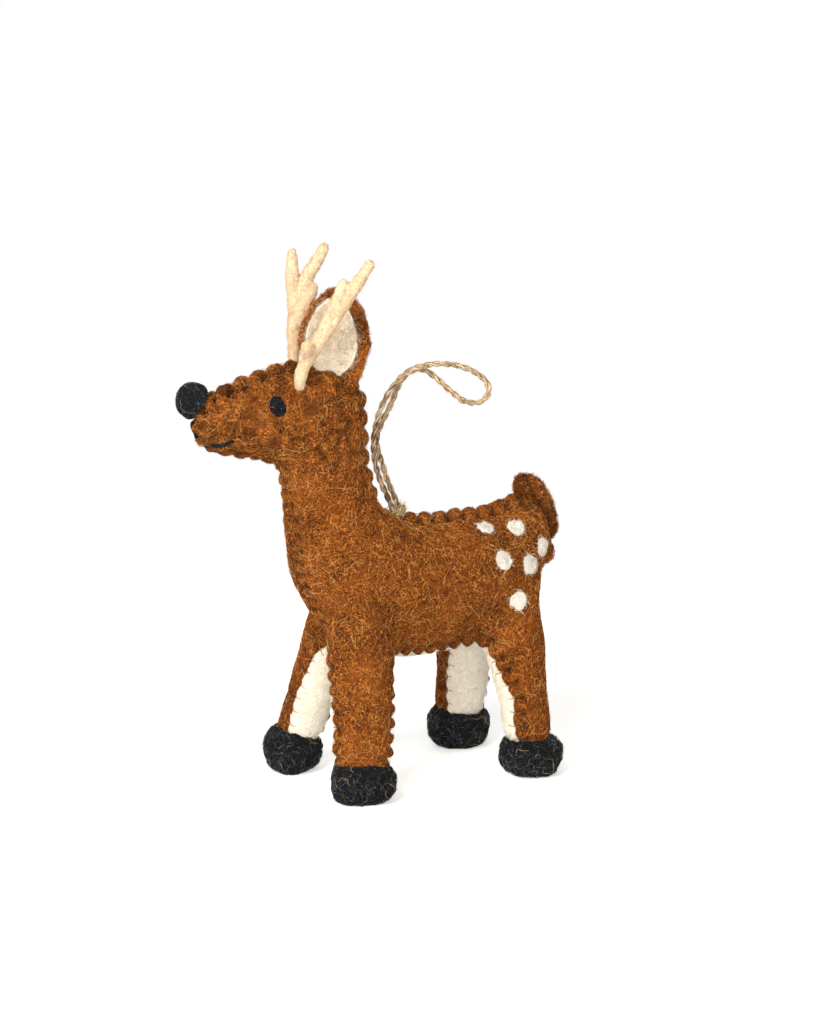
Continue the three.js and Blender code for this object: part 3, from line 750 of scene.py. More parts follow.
def thickened(mesh, thickness):
    """A sheet given its thickness on its inner side, as a closed plain mesh."""
    sheet = placed("sheet", mesh.copy())
    wall = sheet.modifiers.new("wall", "SOLIDIFY")
    wall.thickness = thickness
    wall.offset = -1
    return taken(sheet)


surfaces = {}
for number, (name, material, slot) in enumerate((
    ("left_side_panel", brown, "brown_felt"),
    ("right_side_panel", brown, "brown_felt"),
    ("belly_gusset", cream, "cream_felt"),
)):
    surfaces[name] = cut_panel(number)
    panel = finished("felt_" + name, thickened(surfaces[name], felt_thickness), material)
    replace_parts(panel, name)


# Filling: loose wool, pushed firmly into the body, neck, head and legs through the last open
# stretch of seam. One piece stands for all of it.
filling_voxel = 1.5 * MM
wall_clearance = 0.5 * MM

wool = new_material("carded_filling_wool", "#E9E4D8", felt_roughness)[0]
inner_places = points_of(filling_mesh) - normals_of(filling_mesh) * (felt_thickness + wall_clearance)
set_points(filling_mesh, inner_places)
filling = finished("wool_filling", outer_island(remeshed(filling_mesh, filling_voxel)), wool)
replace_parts(filling, *filling_nodes)


# Wool fibres: short curly hairs that lie in the felt's face, and a few long stray ones that stand
# off it. A tree of geometry nodes scatters them over a piece of felt and lays them on it.
dent_thinning = -0.8
fibre_waves = 1.5
end_share = 0.4
lifted_share = 0.4


def new_tree(name, sockets):
    """An empty tree of geometry nodes with named inputs, and the outputs of its input node."""
    tree = bpy.data.node_groups.new(name, "GeometryNodeTree")
    tree.interface.new_socket("Geometry", in_out="INPUT", socket_type="NodeSocketGeometry")
    for kind, labels in sockets.items():
        for label in labels.split():
            tree.interface.new_socket(label, in_out="INPUT", socket_type="NodeSocket" + kind)
    tree.interface.new_socket("Geometry", in_out="OUTPUT", socket_type="NodeSocketGeometry")
    return tree, add(tree, "NodeGroupInput").outputs


def straight(tree, length, count):
    """A straight line of so many points along X, with its middle at the origin."""
    ends = []
    for share in (-0.5, 0.5):
        reach = add(tree, "ShaderNodeMath", (length, share), operation="MULTIPLY")
        ends.append(add(tree, "ShaderNodeCombineXYZ", {"X": reach}))
    line = add(tree, "GeometryNodeCurvePrimitiveLine", {"Start": ends[0], "End": ends[1]})
    return add(tree, "GeometryNodeResampleCurve", {"Curve": line, "Count": count})


def laid_on(tree, curves, surface, wander, height):
    """Moves curves by a vector, then sets them down at a height over the nearest place of a surface."""
    there = add(tree, "GeometryNodeInputPosition")
    moved = add(tree, "ShaderNodeVectorMath", (there, wander))
    found = []
    for value in ("GeometryNodeInputPosition", "GeometryNodeInputNormal"):
        nearest = add(tree, "GeometryNodeSampleNearestSurface", {
            "Mesh": surface, "Sample Position": moved,
        }, data_type="FLOAT_VECTOR")
        tree.links.new(add(tree, value).outputs[0], nearest.inputs["Value"])
        found.append(nearest)
    up = add(tree, "ShaderNodeVectorMath", {0: found[1], "Scale": height}, operation="SCALE")
    place = add(tree, "ShaderNodeVectorMath", (found[0], up))
    return add(tree, "GeometryNodeSetPosition", {"Geometry": curves, "Position": place})


tree, given = new_tree("wool_fibres", {
    "Object": "Felt", "Float": "Density Length Radius Curl Lift Stray", "Int": "Seed Steps",
    "Material": "First Second Third",
})
fibre_tree = tree
under = add(tree, "GeometryNodeObjectInfo", {"Object": given["Felt"]}).outputs["Geometry"]
along = add(tree, "GeometryNodeSplineParameter")
number = add(tree, "GeometryNodeCurveOfPoint").outputs["Curve Index"]

# What is left to chance in each fibre. Wave, lift and stray are one number for its whole curve.
drawn = {}
for seed, (label, low, high, given_to) in enumerate((
    ("turn", 0.0, math.tau, {}),
    ("size", 0.5, 1.3, {}),
    ("wave", 0.0, 60.0, {7: number}),
    ("lift", 0.0, 1.0, {7: number}),
    ("stray", 0.0, 1.0, {7: number}),
    ("dye", 0.0, 1.0, {}),
), start=1):
    drawn[label] = add(tree, "FunctionNodeRandomValue", {2: low, 3: high, 8: seed, **given_to}).outputs[1]

# Short lines scattered over the felt, fewer where it is dented, each turned its own way
dents = add(tree, "GeometryNodeInputNamedAttribute", {"Name": "dent"})
thinned = add(tree, "ShaderNodeMath", (dents, dent_thinning, 1.0), operation="MULTIPLY_ADD")
density = add(tree, "ShaderNodeMath", (given["Density"], thinned), operation="MULTIPLY")
points = add(tree, "GeometryNodeDistributePointsOnFaces", {
    "Mesh": given["Geometry"], "Seed": given["Seed"], "Density": density,
}).outputs
turn = add(tree, "ShaderNodeCombineXYZ", {"Z": drawn["turn"]})
turn = add(tree, "FunctionNodeEulerToRotation", {"Euler": turn})
turn = add(tree, "FunctionNodeRotateRotation", {
    "Rotation": points["Rotation"], "Rotate By": turn,
}, rotation_space="LOCAL")
hairs = add(tree, "GeometryNodeInstanceOnPoints", {
    "Points": points["Points"], "Instance": straight(tree, given["Length"], given["Steps"]),
    "Rotation": turn, "Scale": drawn["size"],
})
hairs = add(tree, "GeometryNodeRealizeInstances", {"Geometry": hairs})

# The lines curl, and lie at a height of their own, to which a stray one's far end adds
size = add(tree, "ShaderNodeMath", (fibre_waves, given["Length"]), operation="DIVIDE")
sway = add(tree, "ShaderNodeTexNoise", {
    "W": drawn["wave"], "Scale": size, "Detail": 1.5,
}, noise_dimensions="4D").outputs["Color"]
sway = add(tree, "ShaderNodeVectorMath", (sway, (0.5, 0.5, 0.5)), operation="SUBTRACT")
sway = add(tree, "ShaderNodeVectorMath", {0: sway, "Scale": given["Curl"]}, operation="SCALE")
height = add(tree, "ShaderNodeMath", (given["Lift"], drawn["lift"]), operation="MULTIPLY")
stray = add(tree, "ShaderNodeMath", (given["Stray"], drawn["stray"]), operation="MULTIPLY")
far_end = add(tree, "ShaderNodeMath", (along, 2.0), operation="POWER")
height = add(tree, "ShaderNodeMath", (stray, far_end, height), operation="MULTIPLY_ADD")
height = add(tree, "ShaderNodeMath", (given["Radius"], lifted_share, height), operation="MULTIPLY_ADD")
hairs = laid_on(tree, hairs, under, sway, height)
# Each fibre keeps the dent value of the felt under it, so that its dye can paint shade with it
depth = add(tree, "GeometryNodeSampleNearestSurface", {"Mesh": under, "Value": dents})
hairs = add(tree, "GeometryNodeStoreNamedAttribute", {"Geometry": hairs, "Name": "dent", "Value": depth})

# They become three-sided tubes that taper to both ends, and are shared out over three dyes
half_turn = add(tree, "ShaderNodeMath", (along, math.pi), operation="MULTIPLY")
taper = add(tree, "ShaderNodeMath", (half_turn,), operation="SINE")
taper = add(tree, "ShaderNodeMath", (taper, 1 - end_share, end_share), operation="MULTIPLY_ADD")
ring = add(tree, "GeometryNodeCurvePrimitiveCircle", {"Resolution": 3, "Radius": given["Radius"]})
woolly = add(tree, "GeometryNodeJoinGeometry")
for label, share in (("First", 0.5), ("Second", 0.72), ("Third", 1.0)):
    pick = add(tree, "FunctionNodeCompare", (drawn["dye"], share), operation="LESS_THAN")
    some = add(tree, "GeometryNodeSeparateGeometry", {"Geometry": hairs, "Selection": pick}, domain="CURVE")
    hairs = some.outputs["Inverted"]
    tubes = add(tree, "GeometryNodeCurveToMesh", {
        "Curve": some, "Profile Curve": ring, "Scale": taper, "Fill Caps": True,
    })
    dyed = add(tree, "GeometryNodeSetMaterial", {"Geometry": tubes, "Material": given[label]})
    tree.links.new(dyed.outputs[0], woolly.inputs[0])
whole = add(tree, "GeometryNodeRealizeInstances", {"Geometry": woolly})
add(tree, "NodeGroupOutput", {"Geometry": whole})


def made_by(tree, mesh, values, surface=None):
    """What a tree of geometry nodes makes from a mesh, as a plain mesh, laid on a surface."""
    carrier = placed("carrier", mesh)
    under = placed("under", surface or mesh)
    maker = carrier.modifiers.new("maker", "NODES")
    maker.node_group = tree
    sockets = {item.name: item.identifier for item in tree.interface.items_tree if item.in_out == "INPUT"}
    for label, value in values.items():
        maker[sockets[label]] = value
    if "Felt" in sockets:
        maker[sockets["Felt"]] = under
    result = taken(carrier)
    bpy.data.objects.remove(under)
    return result


# Dyed wool seen one fibre at a time, in the shades that were carded together. Each fibre dips in
# and out of the mat, and painted shade makes it darker where it dips, so it is lighter and darker along its
# length.
dip_width = 0.55 * MM
dip_contrast = 0.08
patch_width = 11 * MM
patch_share = 0.35
fibre_dent_shade_share = 0.85


def fibre_dye(name, colour, dipped_shade=None, gloss=felt_gloss):
    """One shade of wool fibre, with painted shade where it dips into the mat and where the felt under it is
    dented or in painted shade.
    """
    material, tree, shader = new_material(name, colour, felt_roughness - 2 * (gloss - felt_gloss), gloss)
    if dipped_shade:
        place = add(tree, "ShaderNodeTexCoord").outputs["Object"]
        dips = add(tree, "ShaderNodeTexNoise", {"Vector": place, "Scale": 1 / dip_width, "Detail": 1.0})
        # Broad patches where more of each fibre lies in painted shade
        patches = add(tree, "ShaderNodeTexNoise", {"Vector": place, "Scale": 1 / patch_width, "Detail": 2.0})
        dips = add(tree, "ShaderNodeMath", (patches, patch_share, dips), operation="MULTIPLY_ADD")
        even = 0.5 + 0.5 * patch_share
        depth = add(tree, "ShaderNodeMapRange", {
            "Value": dips, "From Min": even - dip_contrast, "From Max": even + dip_contrast,
        })
        shade = {0: depth, 6: linear(dipped_shade), 7: linear(colour)}
        shade = add(tree, "ShaderNodeMix", shade, data_type="RGBA").outputs[2]
        # Painted shade: darker where the felt under the fibre is dented or shaded
        dent = add(tree, "ShaderNodeAttribute", attribute_name="dent").outputs["Fac"]
        shade = covered(tree, shade, painted_dent_shade, dent, fibre_dent_shade_share)
        tree.links.new(shade, shader.inputs["Base Color"])
    return material


brown_dyes = [
    fibre_dye("chestnut_wool_fibre", "#A4581B", "#3C1A06"),
    fibre_dye("golden_brown_wool_fibre", "#E08F3F", "#5C2B0C"),
    fibre_dye("amber_wool_fibre", "#EFA55A", "#8E4C1B"),
]
amber_stray = fibre_dye("amber_stray_fibre", "#C08234")
straw_stray = fibre_dye("straw_stray_fibre", "#D9B673")
stray_dyes = [amber_stray, fibre_dye("copper_stray_fibre", "#A5601F"), straw_stray]
hair_dyes = [straw_stray, amber_stray, fibre_dye("lilac_hair", "#B9A0A2")]
cream_dyes = [
    fibre_dye("cream_wool_fibre", "#F4ECDD"),
    fibre_dye("white_wool_fibre", "#FBF7EE"),
    fibre_dye("oat_wool_fibre", "#E8DCC8"),
]


def coat_of(density, steps=5, **sizes):
    """How a coat of wool lies: fibres on each square millimetre, and their sizes in millimetres."""
    coat = {label.capitalize(): size * MM for label, size in sizes.items()}
    return {"Density": density * (1 / (MM * MM)), "Steps": steps, **coat}


def grow(name, mesh, coat, dyes, slot, seed, body="deer", surface=None):
    """Fibres on a mesh, as a piece of their own."""
    values = {**coat, "Seed": seed, "First": dyes[0], "Second": dyes[1], "Third": dyes[2]}
    return finished(name, made_by(fibre_tree, mesh, values, surface), None, body)


nap = coat_of(density=1.05, length=2.8, radius=0.055, curl=4.2, lift=0.22, stray=0.0)
fuzz = coat_of(density=0.3, length=3.6, radius=0.04, curl=7, lift=0.2, stray=0.7)
hairs = coat_of(density=0.006, steps=16, length=9, radius=0.04, curl=13, lift=0.3, stray=0.4)
for seed, name in enumerate(("left_side_panel", "right_side_panel")):
    for coat in (0, 1):
        grow(f"{name}_nap_{coat + 1}", surfaces[name], nap, brown_dyes, "brown_felt", seed + 20 * coat)
    grow(name + "_fuzz", surfaces[name], fuzz, stray_dyes, "brown_felt", seed + 10)
    grow(name + "_hairs", surfaces[name], hairs, hair_dyes, "brown_felt", seed + 40)
grow("belly_gusset_nap_1", surfaces["belly_gusset"], nap, cream_dyes, "cream_felt", 2)
grow("belly_gusset_fuzz", surfaces["belly_gusset"], fuzz, cream_dyes, "cream_felt", 12)


# Whip stitches: brown sewing thread that comes up through the felt, over the edge where two
# pieces meet and down again on the other side. On the cream felt it shows as short brown dashes.
thread_radius = 0.13 * MM
stitch_inside = 2.3 * MM
stitch_outside = 2.5 * MM
thread_rise = 0.16 * MM
thread_sink = 0.14 * MM
thread_steps = 9
gusset_edge = 1 * MM

tree, given = new_tree("whip_stitches", {
    "Object": "Felt", "Float": "Length Radius Rise Sink", "Material": "Thread",
})
stitch_tree = tree
under = add(tree, "GeometryNodeObjectInfo", {"Object": given["Felt"]}).outputs["Geometry"]
turn = (0, 0, 0)
for label, settings in (("facing", {"axis": "Z"}), ("across", {"axis": "X", "pivot_axis": "Z"})):
    vector = add(tree, "GeometryNodeInputNamedAttribute", {"Name": label}, data_type="FLOAT_VECTOR")
    aim = {"Rotation": turn, "Vector": vector}
    turn = add(tree, "FunctionNodeAlignRotationToVector", aim, **settings)
size = add(tree, "FunctionNodeRandomValue", {2: 0.8, 3: 1.15, 8: 1}).outputs[1]
threads = add(tree, "GeometryNodeInstanceOnPoints", {
    "Points": given["Geometry"], "Instance": straight(tree, given["Length"], thread_steps),
    "Rotation": turn, "Scale": size,
})
threads = add(tree, "GeometryNodeRealizeInstances", {"Geometry": threads})
along = add(tree, "GeometryNodeSplineParameter")
arch = add(tree, "ShaderNodeMath", (along, math.pi), operation="MULTIPLY")
arch = add(tree, "ShaderNodeMath", (arch,), operation="SINE")
height = add(tree, "ShaderNodeMath", (arch, given["Rise"]), operation="MULTIPLY")
height = add(tree, "ShaderNodeMath", (height, given["Sink"]), operation="SUBTRACT")
threads = laid_on(tree, threads, under, (0, 0, 0), height)
ring = add(tree, "GeometryNodeCurvePrimitiveCircle", {"Resolution": 8, "Radius": given["Radius"]})
threads = add(tree, "GeometryNodeCurveToMesh", {"Curve": threads, "Profile Curve": ring, "Fill Caps": True})
threads = add(tree, "GeometryNodeRealizeInstances", {"Geometry": threads})
threads = add(tree, "GeometryNodeSetMaterial", {"Geometry": threads, "Material": given["Thread"]})
add(tree, "NodeGroupOutput", {"Geometry": threads})

# Cotton sewing thread, dyed to match the felt, a little smoother and lighter than the wool
thread = new_material("brown_sewing_thread", "#A8713C", 0.75)[0]

body_tree = tree_of(points_of(body))
body_facing = normals_of(body)
holes, acrosses, facings = [], [], []
for seam in seams:
    counts = seam["count"]
    for number in range(math.ceil(counts[0]) + 1, math.floor(counts[-1])):
        row = int(np.argmin(abs(counts - number)))
        after, before = seam["line"][min(row + 3, len(counts) - 1)], seam["line"][max(row - 3, 0)]
        tangent = Vector(after - before).normalized()
        place, index, _ = body_tree.find(seam["line"][row])
        up = Vector(body_facing[index])
        across = up.cross(tangent).normalized()
        there = body_tree.find(place + across * stitch_inside)[1]
        if gusset_values[there] > 0:
            across = -across
        across.rotate(Quaternion(up, math.atan(lean_at(place.z))))
        on_gusset = abs(gusset_values[index]) < gusset_edge
        shift = (stitch_outside - stitch_inside) / 2 if on_gusset else 0
        holes.append(place + across * shift)
        acrosses.append(across)
        facings.append(up)
stitch_points = bpy.data.meshes.new("stitch_points")
stitch_points.from_pydata(holes, [], [])
for label, vectors in (("across", acrosses), ("facing", facings)):
    values = stitch_points.attributes.new(label, "FLOAT_VECTOR", "POINT")
    values.data.foreach_set("vector", np.array(vectors, np.float32).ravel())
sewn = made_by(stitch_tree, stitch_points, {
    "Length": stitch_inside + stitch_outside, "Radius": thread_radius, "Rise": thread_rise,
    "Sink": thread_sink, "Thread": thread,
}, body)
finished("whip_stitches", sewn, None)

# Hooves: four cups of black wool, needle-felted by hand round the ends of the legs. They are
# rounded below and flat where they stand, and their rims thin out against the legs.
cad_skin = surface_of(closed(opened(*(nodes[name].data for name in skin_nodes))))
felt_skin = surface_of(body)


def reseated(mesh, keep=1.0):
    """Carries a mesh from the CAD skin to the finished felt, its height over the felt scaled."""
    places = points_of(mesh)
    for row, place in enumerate(places.tolist()):
        seat = Vector(place) - cad_skin.find_nearest(place)[0]
        there = felt_skin.find_nearest(place)[0]
        places[row] = there + seat * keep
    set_points(mesh, places)
    return mesh


def softened(name, voxel, rounds, lumps, seed, start=None):
    """A copy of a CAD node as hand-made wool: fine even faces, rounded corners and shallow lumps."""
    mesh = remeshed(start or merged_copy([name]), voxel)
    places = relaxed(mesh, points_of(mesh), rounds)
    set_points(mesh, places)
    places = places + normals_of(mesh) * lumpy(places, lumps, seed)[:, None]
    places[:, 2] = np.maximum(places[:, 2], 0)
    set_points(mesh, places)
    return mesh


black = felt("black_wool_felt", "#0D0E11", "#060708", "#1E2126")
black_dyes = [
    fibre_dye("black_wool_fibre", "#0C0D10", "#050607", gloss=0.3),
    fibre_dye("slate_wool_fibre", "#2A2E34", "#0C0D0F", gloss=0.4),
    fibre_dye("grey_wool_fibre", "#6A6E75", "#1E2023", gloss=0.4),
]
hoof_voxel = 0.45 * MM
hoof_lumps = [(0.9 * MM, 6 * MM), (0.4 * MM, 1.6 * MM)]
rim_wall = 0.7 * MM
rim_rise = 0.6 * MM
rim_lumps = [(1.2 * MM, 7 * MM)]
rim_tilts = {
    "front_left_hoof": -0.1, "front_right_hoof": -0.3, "hind_left_hoof": 0.0, "hind_right_hoof": -0.1,
}
hoof_nap = coat_of(density=2.2, length=2.4, radius=0.07, curl=4.5, lift=0.25, stray=0.3)
hoof_fuzz = coat_of(density=0.1, length=4, radius=0.04, curl=9, lift=0.3, stray=0.8)
for seed, name in enumerate(sorted(n for n in nodes if n.endswith("hoof"))):
    mesh = softened(name, hoof_voxel, 8, hoof_lumps, seed)
    places = points_of(mesh)
    for row, place in enumerate(places.tolist()):
        seat, up, _, away = felt_skin.find_nearest(place)
        drawn_in = float(rise(place[2] / MM, 6.5, 9.5))
        if away > rim_wall and up.dot(Vector(place) - seat) > 0:
            places[row] = Vector(place).lerp(seat + up * rim_wall, drawn_in)
    middle = places.mean(axis=0)
    uneven = rim_rise + lumpy(places, rim_lumps, seed + 9) + rim_tilts[name] * (places[:, 0] - middle[0])
    places[:, 2] += rise(places[:, 2] / MM, 5, 9) * uneven
    set_points(mesh, places)
    grow(name + "_nap", mesh, hoof_nap, black_dyes, "black_felt", seed)
    grow(name + "_fuzz", mesh, hoof_fuzz, [black_dyes[2], straw_stray, black_dyes[1]], "black_felt", seed)
    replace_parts(finished(name + "_wool", mesh, black), name)


# Ears: each a cupped leaf of brown felt, sewn to the head by its narrow end, with a thin beige
# lining inside. The wool stands up round the rim.
ear_voxel = 0.36 * MM
ear_lumps = [(0.5 * MM, 5 * MM), (0.2 * MM, 1.8 * MM)]
ear_nap = coat_of(density=2.8, length=2, radius=0.065, curl=4, lift=0.25, stray=0.7)
lining_nap = coat_of(density=1.5, length=4, radius=0.035, curl=7, lift=0.2, stray=0.8)
rim_fuzz = coat_of(density=0.8, length=4, radius=0.03, curl=9, lift=0.5, stray=0.6)
crumple = [(0.5 * MM, 3.4 * MM)]
lining_felt = felt("beige_wool_felt", "#E8DAC4", "#BFA888", "#F4EADA")
lining_dyes = [
    fibre_dye("beige_wool_fibre", "#E2D2B6", "#B29A76"),
    fibre_dye("ivory_wool_fibre", "#F5ECDC", "#D2BF9F"),
    fibre_dye("white_lining_fibre", "#FFFBF2", "#E8DAC2"),
]
rim_dyes = lining_dyes[1:] + lining_dyes[:1]
for side, seed in (("left", 1), ("right", 2)):
    mesh = softened(side + "_ear", ear_voxel, 5, ear_lumps, seed)
    ear = finished(side + "_ear_felt", mesh, brown)
    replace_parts(ear, side + "_ear")
    ear_coat = grow(side + "_ear_nap", ear.data, ear_nap, brown_dyes, "brown_felt", seed)
    mesh = softened(side + "_ear_lining", ear_voxel, 2, ear_lumps[1:], seed)
    places = points_of(mesh)
    set_points(mesh, places + normals_of(mesh) * lumpy(places * (1, 1, 0.4), crumple, seed)[:, None])
    lining = finished(side + "_ear_inner", mesh, lining_felt)
    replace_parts(lining, side + "_ear_lining")
    lining_coats = [
        grow(side + "_ear_lining_nap", lining.data, lining_nap, lining_dyes, "ear_felt", seed),
        grow(side + "_ear_rim_fuzz", lining.data, rim_fuzz, rim_dyes, "ear_felt", seed + 4, surface=ear.data),
    ]


# Antlers: pale wool felted round a steel wire, each a trunk with two tines and a short spur. The
# wire runs down into the head, and its tip nearly shows at the end of the trunk.
antler_voxel = 0.4 * MM
antler_lumps = [(0.2 * MM, 5 * MM), (0.1 * MM, 1 * MM)]
antler_padding = 0.3 * MM
antler_waist = 0.15 * MM
antler_root = 2 * MM
antler_nap = coat_of(density=2.5, length=2, radius=0.05, curl=3, lift=0.12, stray=0.3)
straw = felt("straw_wool_felt", "#EDD2AF", "#DFBD92", "#F5E3C9")
straw_dyes = [
    fibre_dye("straw_wool_fibre", "#EED4B2", "#DFC098"),
    fibre_dye("pale_straw_wool_fibre", "#F7E7D0", "#E9CFA9"),
    fibre_dye("tan_wool_fibre", "#E2C198", "#C79F70"),
]
steel = new_material("bright_drawn_steel_wire", "#8C8C8C", 0.35, metal=1.0)[0]
for side, seed in (("left", 1), ("right", 2)):
    mesh = softened(side + "_antler", antler_voxel, 12, antler_lumps, seed)
    places = points_of(mesh)
    height = places[:, 2] - places[:, 2].min()
    padding = antler_padding - (antler_padding + antler_waist) * (1 - rise(height / MM, 2, 11))
    places += normals_of(mesh) * padding[:, None]
    places[:, 2] -= antler_root * (1 - rise(height / MM, 0.5, 4))
    set_points(mesh, places)
    antler = finished(side + "_antler_wool", mesh, straw)
    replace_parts(antler, side + "_antler")
    grow(side + "_antler_nap", antler.data, antler_nap, straw_dyes, "antler_felt", seed)
    wire = merged_copy([side + "_antler_wire"])
    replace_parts(finished(side + "_antler_steel", wire, steel), side + "_antler_wire")


# Eyes, nose and mouth: oval beads and a ball of black felted wool, and stitches of thick black
# thread for the mouth and the lip.
face_voxel = 0.24 * MM
stitch_rise_share = 0.6
smile = 0.7 * MM
lip_inset = np.array((0.5, 0, -0.25)) * MM
thread_swell = 0.13 * MM
eye_share = 1.1
eye_tilt = math.radians(-16)
face_lumps = [(0.25 * MM, 2.5 * MM), (0.12 * MM, 0.9 * MM)]
face_nap = coat_of(density=2, length=1.6, radius=0.07, curl=3, lift=0.05, stray=0.1)
for seed, name in enumerate(("left_eye", "right_eye", "nose")):
    bead = softened(name, face_voxel, 3, face_lumps, seed)
    if name != "nose":
        places = points_of(bead)
        middle = Vector(places.mean(axis=0))
        tilt = Quaternion((0, 1, 0), eye_tilt)
        turned = [middle + tilt @ (Vector(place) - middle) * eye_share for place in places.tolist()]
        set_points(bead, np.array(turned))
        bead = reseated(bead)
    bead = finished(name + "_wool", bead, black)
    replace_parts(bead, name)
    grow(name + "_nap", bead.data, face_nap, black_dyes, "black_felt", seed)
black_cotton = new_material("black_cotton_thread", "#0C0C0E", 0.8, 0.2)[0]
for seed, name in enumerate(("left_mouth_stitch", "right_mouth_stitch", "lip_stitch")):
    mesh = softened(name, face_voxel * 0.8, 2, [(0.1 * MM, 0.8 * MM)], seed)
    set_points(mesh, points_of(mesh) + normals_of(mesh) * thread_swell)
    if "mouth" in name:
        places = points_of(mesh)
        along = places[:, 0] - places[:, 0].mean()
        places[:, 2] += smile * (2 * along / np.ptp(along)) ** 2
        set_points(mesh, places)
    else:
        set_points(mesh, points_of(mesh) + lip_inset)
    reseated(mesh, stitch_rise_share)
    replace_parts(finished(name + "_thread", mesh, black_cotton), name)


# Spots: small tufts of white wool, needle-felted into the rump on both sides. Their outlines are
# uneven ovals, and single fibres run out from them over the brown.
spot_voxel = 0.3 * MM
spot_lumps = [(0.5 * MM, 2.5 * MM), (0.15 * MM, 1 * MM)]
spot_rise_share = 0.6
spot_share = 0.9
spot_nap = coat_of(density=3, length=1.9, radius=0.05, curl=4, lift=0.55, stray=0.2)
white = felt("white_wool_felt", "#E9E2D6", "#C9BFB0", "#F8F4EC")
white_dyes = [
    fibre_dye("bleached_wool_fibre", "#F3EEE5", "#CFC6B8"),
    fibre_dye("natural_wool_fibre", "#FBF8F2", "#D8D0C2"),
    fibre_dye("shaded_wool_fibre", "#CFC6B7", "#A89C8A"),
]
for seed, name in enumerate(sorted(n for n in nodes if "rump_spot" in n)):
    mesh = softened(name, spot_voxel, 3, spot_lumps, seed)
    places = points_of(mesh)
    middle = places.mean(axis=0)
    set_points(mesh, middle + (places - middle) * spot_share)
    reseated(mesh, spot_rise_share)
    spot = finished(name.replace("rump_spot", "wool_spot"), mesh, white)
    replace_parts(spot, name)
    grow(spot.name + "_nap", mesh, spot_nap, white_dyes, "white_wool", seed, surface=body)


# Tail: one cupped leaf of brown felt like the ears, sewn to the end of the back with its hollow
# side towards the rump.
fold_place = np.array((46.9, 0, 51.6)) * MM
fold_size = np.array((2.7, 3, 3.5)) * MM
tail_pinch = 1.8 * MM
tail_spread = 1.3 * MM
hollow_shade_width = 2.6 * MM
hollow_painted_shade = 0.8
leaf_mesh = merged_copy(["tail"])
places = points_of(leaf_mesh)
places[:, 0] -= tail_pinch * (1 - rise(places[:, 2] / MM, 53.5, 56))
set_points(leaf_mesh, places)
tail_shape = opened(leaf_mesh)
bmesh.ops.create_icosphere(
    tail_shape, subdivisions=3, radius=1,
    matrix=Matrix.LocRotScale(Vector(fold_place), None, Vector(fold_size)),
)
tail_mesh = softened("tail", ear_voxel, 5, ear_lumps, 3, closed(tail_shape))
places = points_of(tail_mesh)
front, top = places[:, 0].min() / MM, places[:, 2].max() / MM
x, _, z = (places / MM).T
forward = 1 - rise(x, front, front + 5)
middle = rise(z, top - 15, top - 6) * (1 - rise(z, top - 4, top))
places[:, 0] -= tail_spread * forward * middle
set_points(tail_mesh, places)
# Painted shade: the tail is darkened where it comes close to the rump, in the hollow between them
set_dents_and_shade(tail_mesh, hollow_painted_shade * bell(distance_to(felt_skin, places), hollow_shade_width))
tail = finished("tail_felt", tail_mesh, brown)
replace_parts(tail, "tail")
tail_coat = grow("tail_nap", tail_mesh, ear_nap, brown_dyes, "brown_felt", 3)


# Hanging loop: one length of two-ply jute twine, 1.5 mm thick and stiff enough to stand. Its two
# ends are knotted together in the back seam, and it tips about that knot.
twine_diameter = 1.5 * MM
twine_step = 0.35 * MM
ply_pitch = 5.4 * MM
ply_share = 0.3
ply_reach_share = 0.2
loop_route = [
    (-1.5, 0, 1.2), (-3.1, 0, 4.8), (-5.3, 0, 9.5), (-6.9, 0, 15.4), (-6.6, 0, 21.6),
    (-4.9, -0.2, 27), (-1.8, -0.2, 31.6), (3, 0, 35.2), (8.8, 0, 36.3), (14.8, 0, 35.9),
    (20.6, 0, 34), (25, 0, 31), (26, 0, 28), (23.8, 0, 25.9), (19.4, 0, 26.2), (15.4, 0.3, 29),
    (11.6, 1.1, 32.6), (8, 1.9, 35), (4, 1.9, 34.4), (0.8, 1.2, 31.6), (-1.7, 0.6, 27.4),
    (-4.7, 0.9, 22), (-5.5, 1, 18), (-4.2, 0.2, 12.4), (-3, 0, 8.6), (-1.4, 0, 5.2), (0.3, 0, 1.4),
]
knot_place = Vector(frame["joints"][0]["pos_m"])


def smooth_path(route, steps):
    """Points along a smooth curve through all places of a route."""
    route = [Vector(place) for place in route]
    ends = [route[0] * 2 - route[1], *route, route[-1] * 2 - route[-2]]
    path = []
    for before, here, there, after in zip(ends, ends[1:], ends[2:], ends[3:]):
        for step in range(steps):
            t = step / steps
            path.append((
                here * 2 + (there - before) * t + (before * 2 - here * 5 + there * 4 - after) * t ** 2
                + (here * 3 - before - there * 3 + after) * t ** 3
            ) / 2)
    return path + [route[-1]]


def line_mesh(path):
    """A path as a mesh of edges, for a tree of geometry nodes to work on."""
    mesh = bpy.data.meshes.new("path")
    mesh.from_pydata(path, [(row, row + 1) for row in range(len(path) - 1)], [])
    return mesh


tree, given = new_tree("two_ply_twine", {"Float": "Diameter Pitch Step", "Material": "Yarn"})
twine_tree = tree
core = add(tree, "GeometryNodeMeshToCurve", {"Mesh": given["Geometry"]})
core = add(tree, "GeometryNodeResampleCurve", {"Curve": core, "Length": given["Step"]}, mode="LENGTH")
place = add(tree, "GeometryNodeSplineParameter").outputs
outwards = add(tree, "GeometryNodeInputNormal")
forwards = add(tree, "GeometryNodeInputTangent")
sideways = add(tree, "ShaderNodeVectorMath", (forwards, outwards), operation="CROSS_PRODUCT")
turns = add(tree, "ShaderNodeMath", (place["Length"], given["Pitch"]), operation="DIVIDE")
turns = add(tree, "ShaderNodeMath", (turns, math.tau), operation="MULTIPLY")
radius = add(tree, "ShaderNodeMath", (given["Diameter"], ply_share), operation="MULTIPLY")
reach = add(tree, "ShaderNodeMath", (given["Diameter"], ply_reach_share), operation="MULTIPLY")
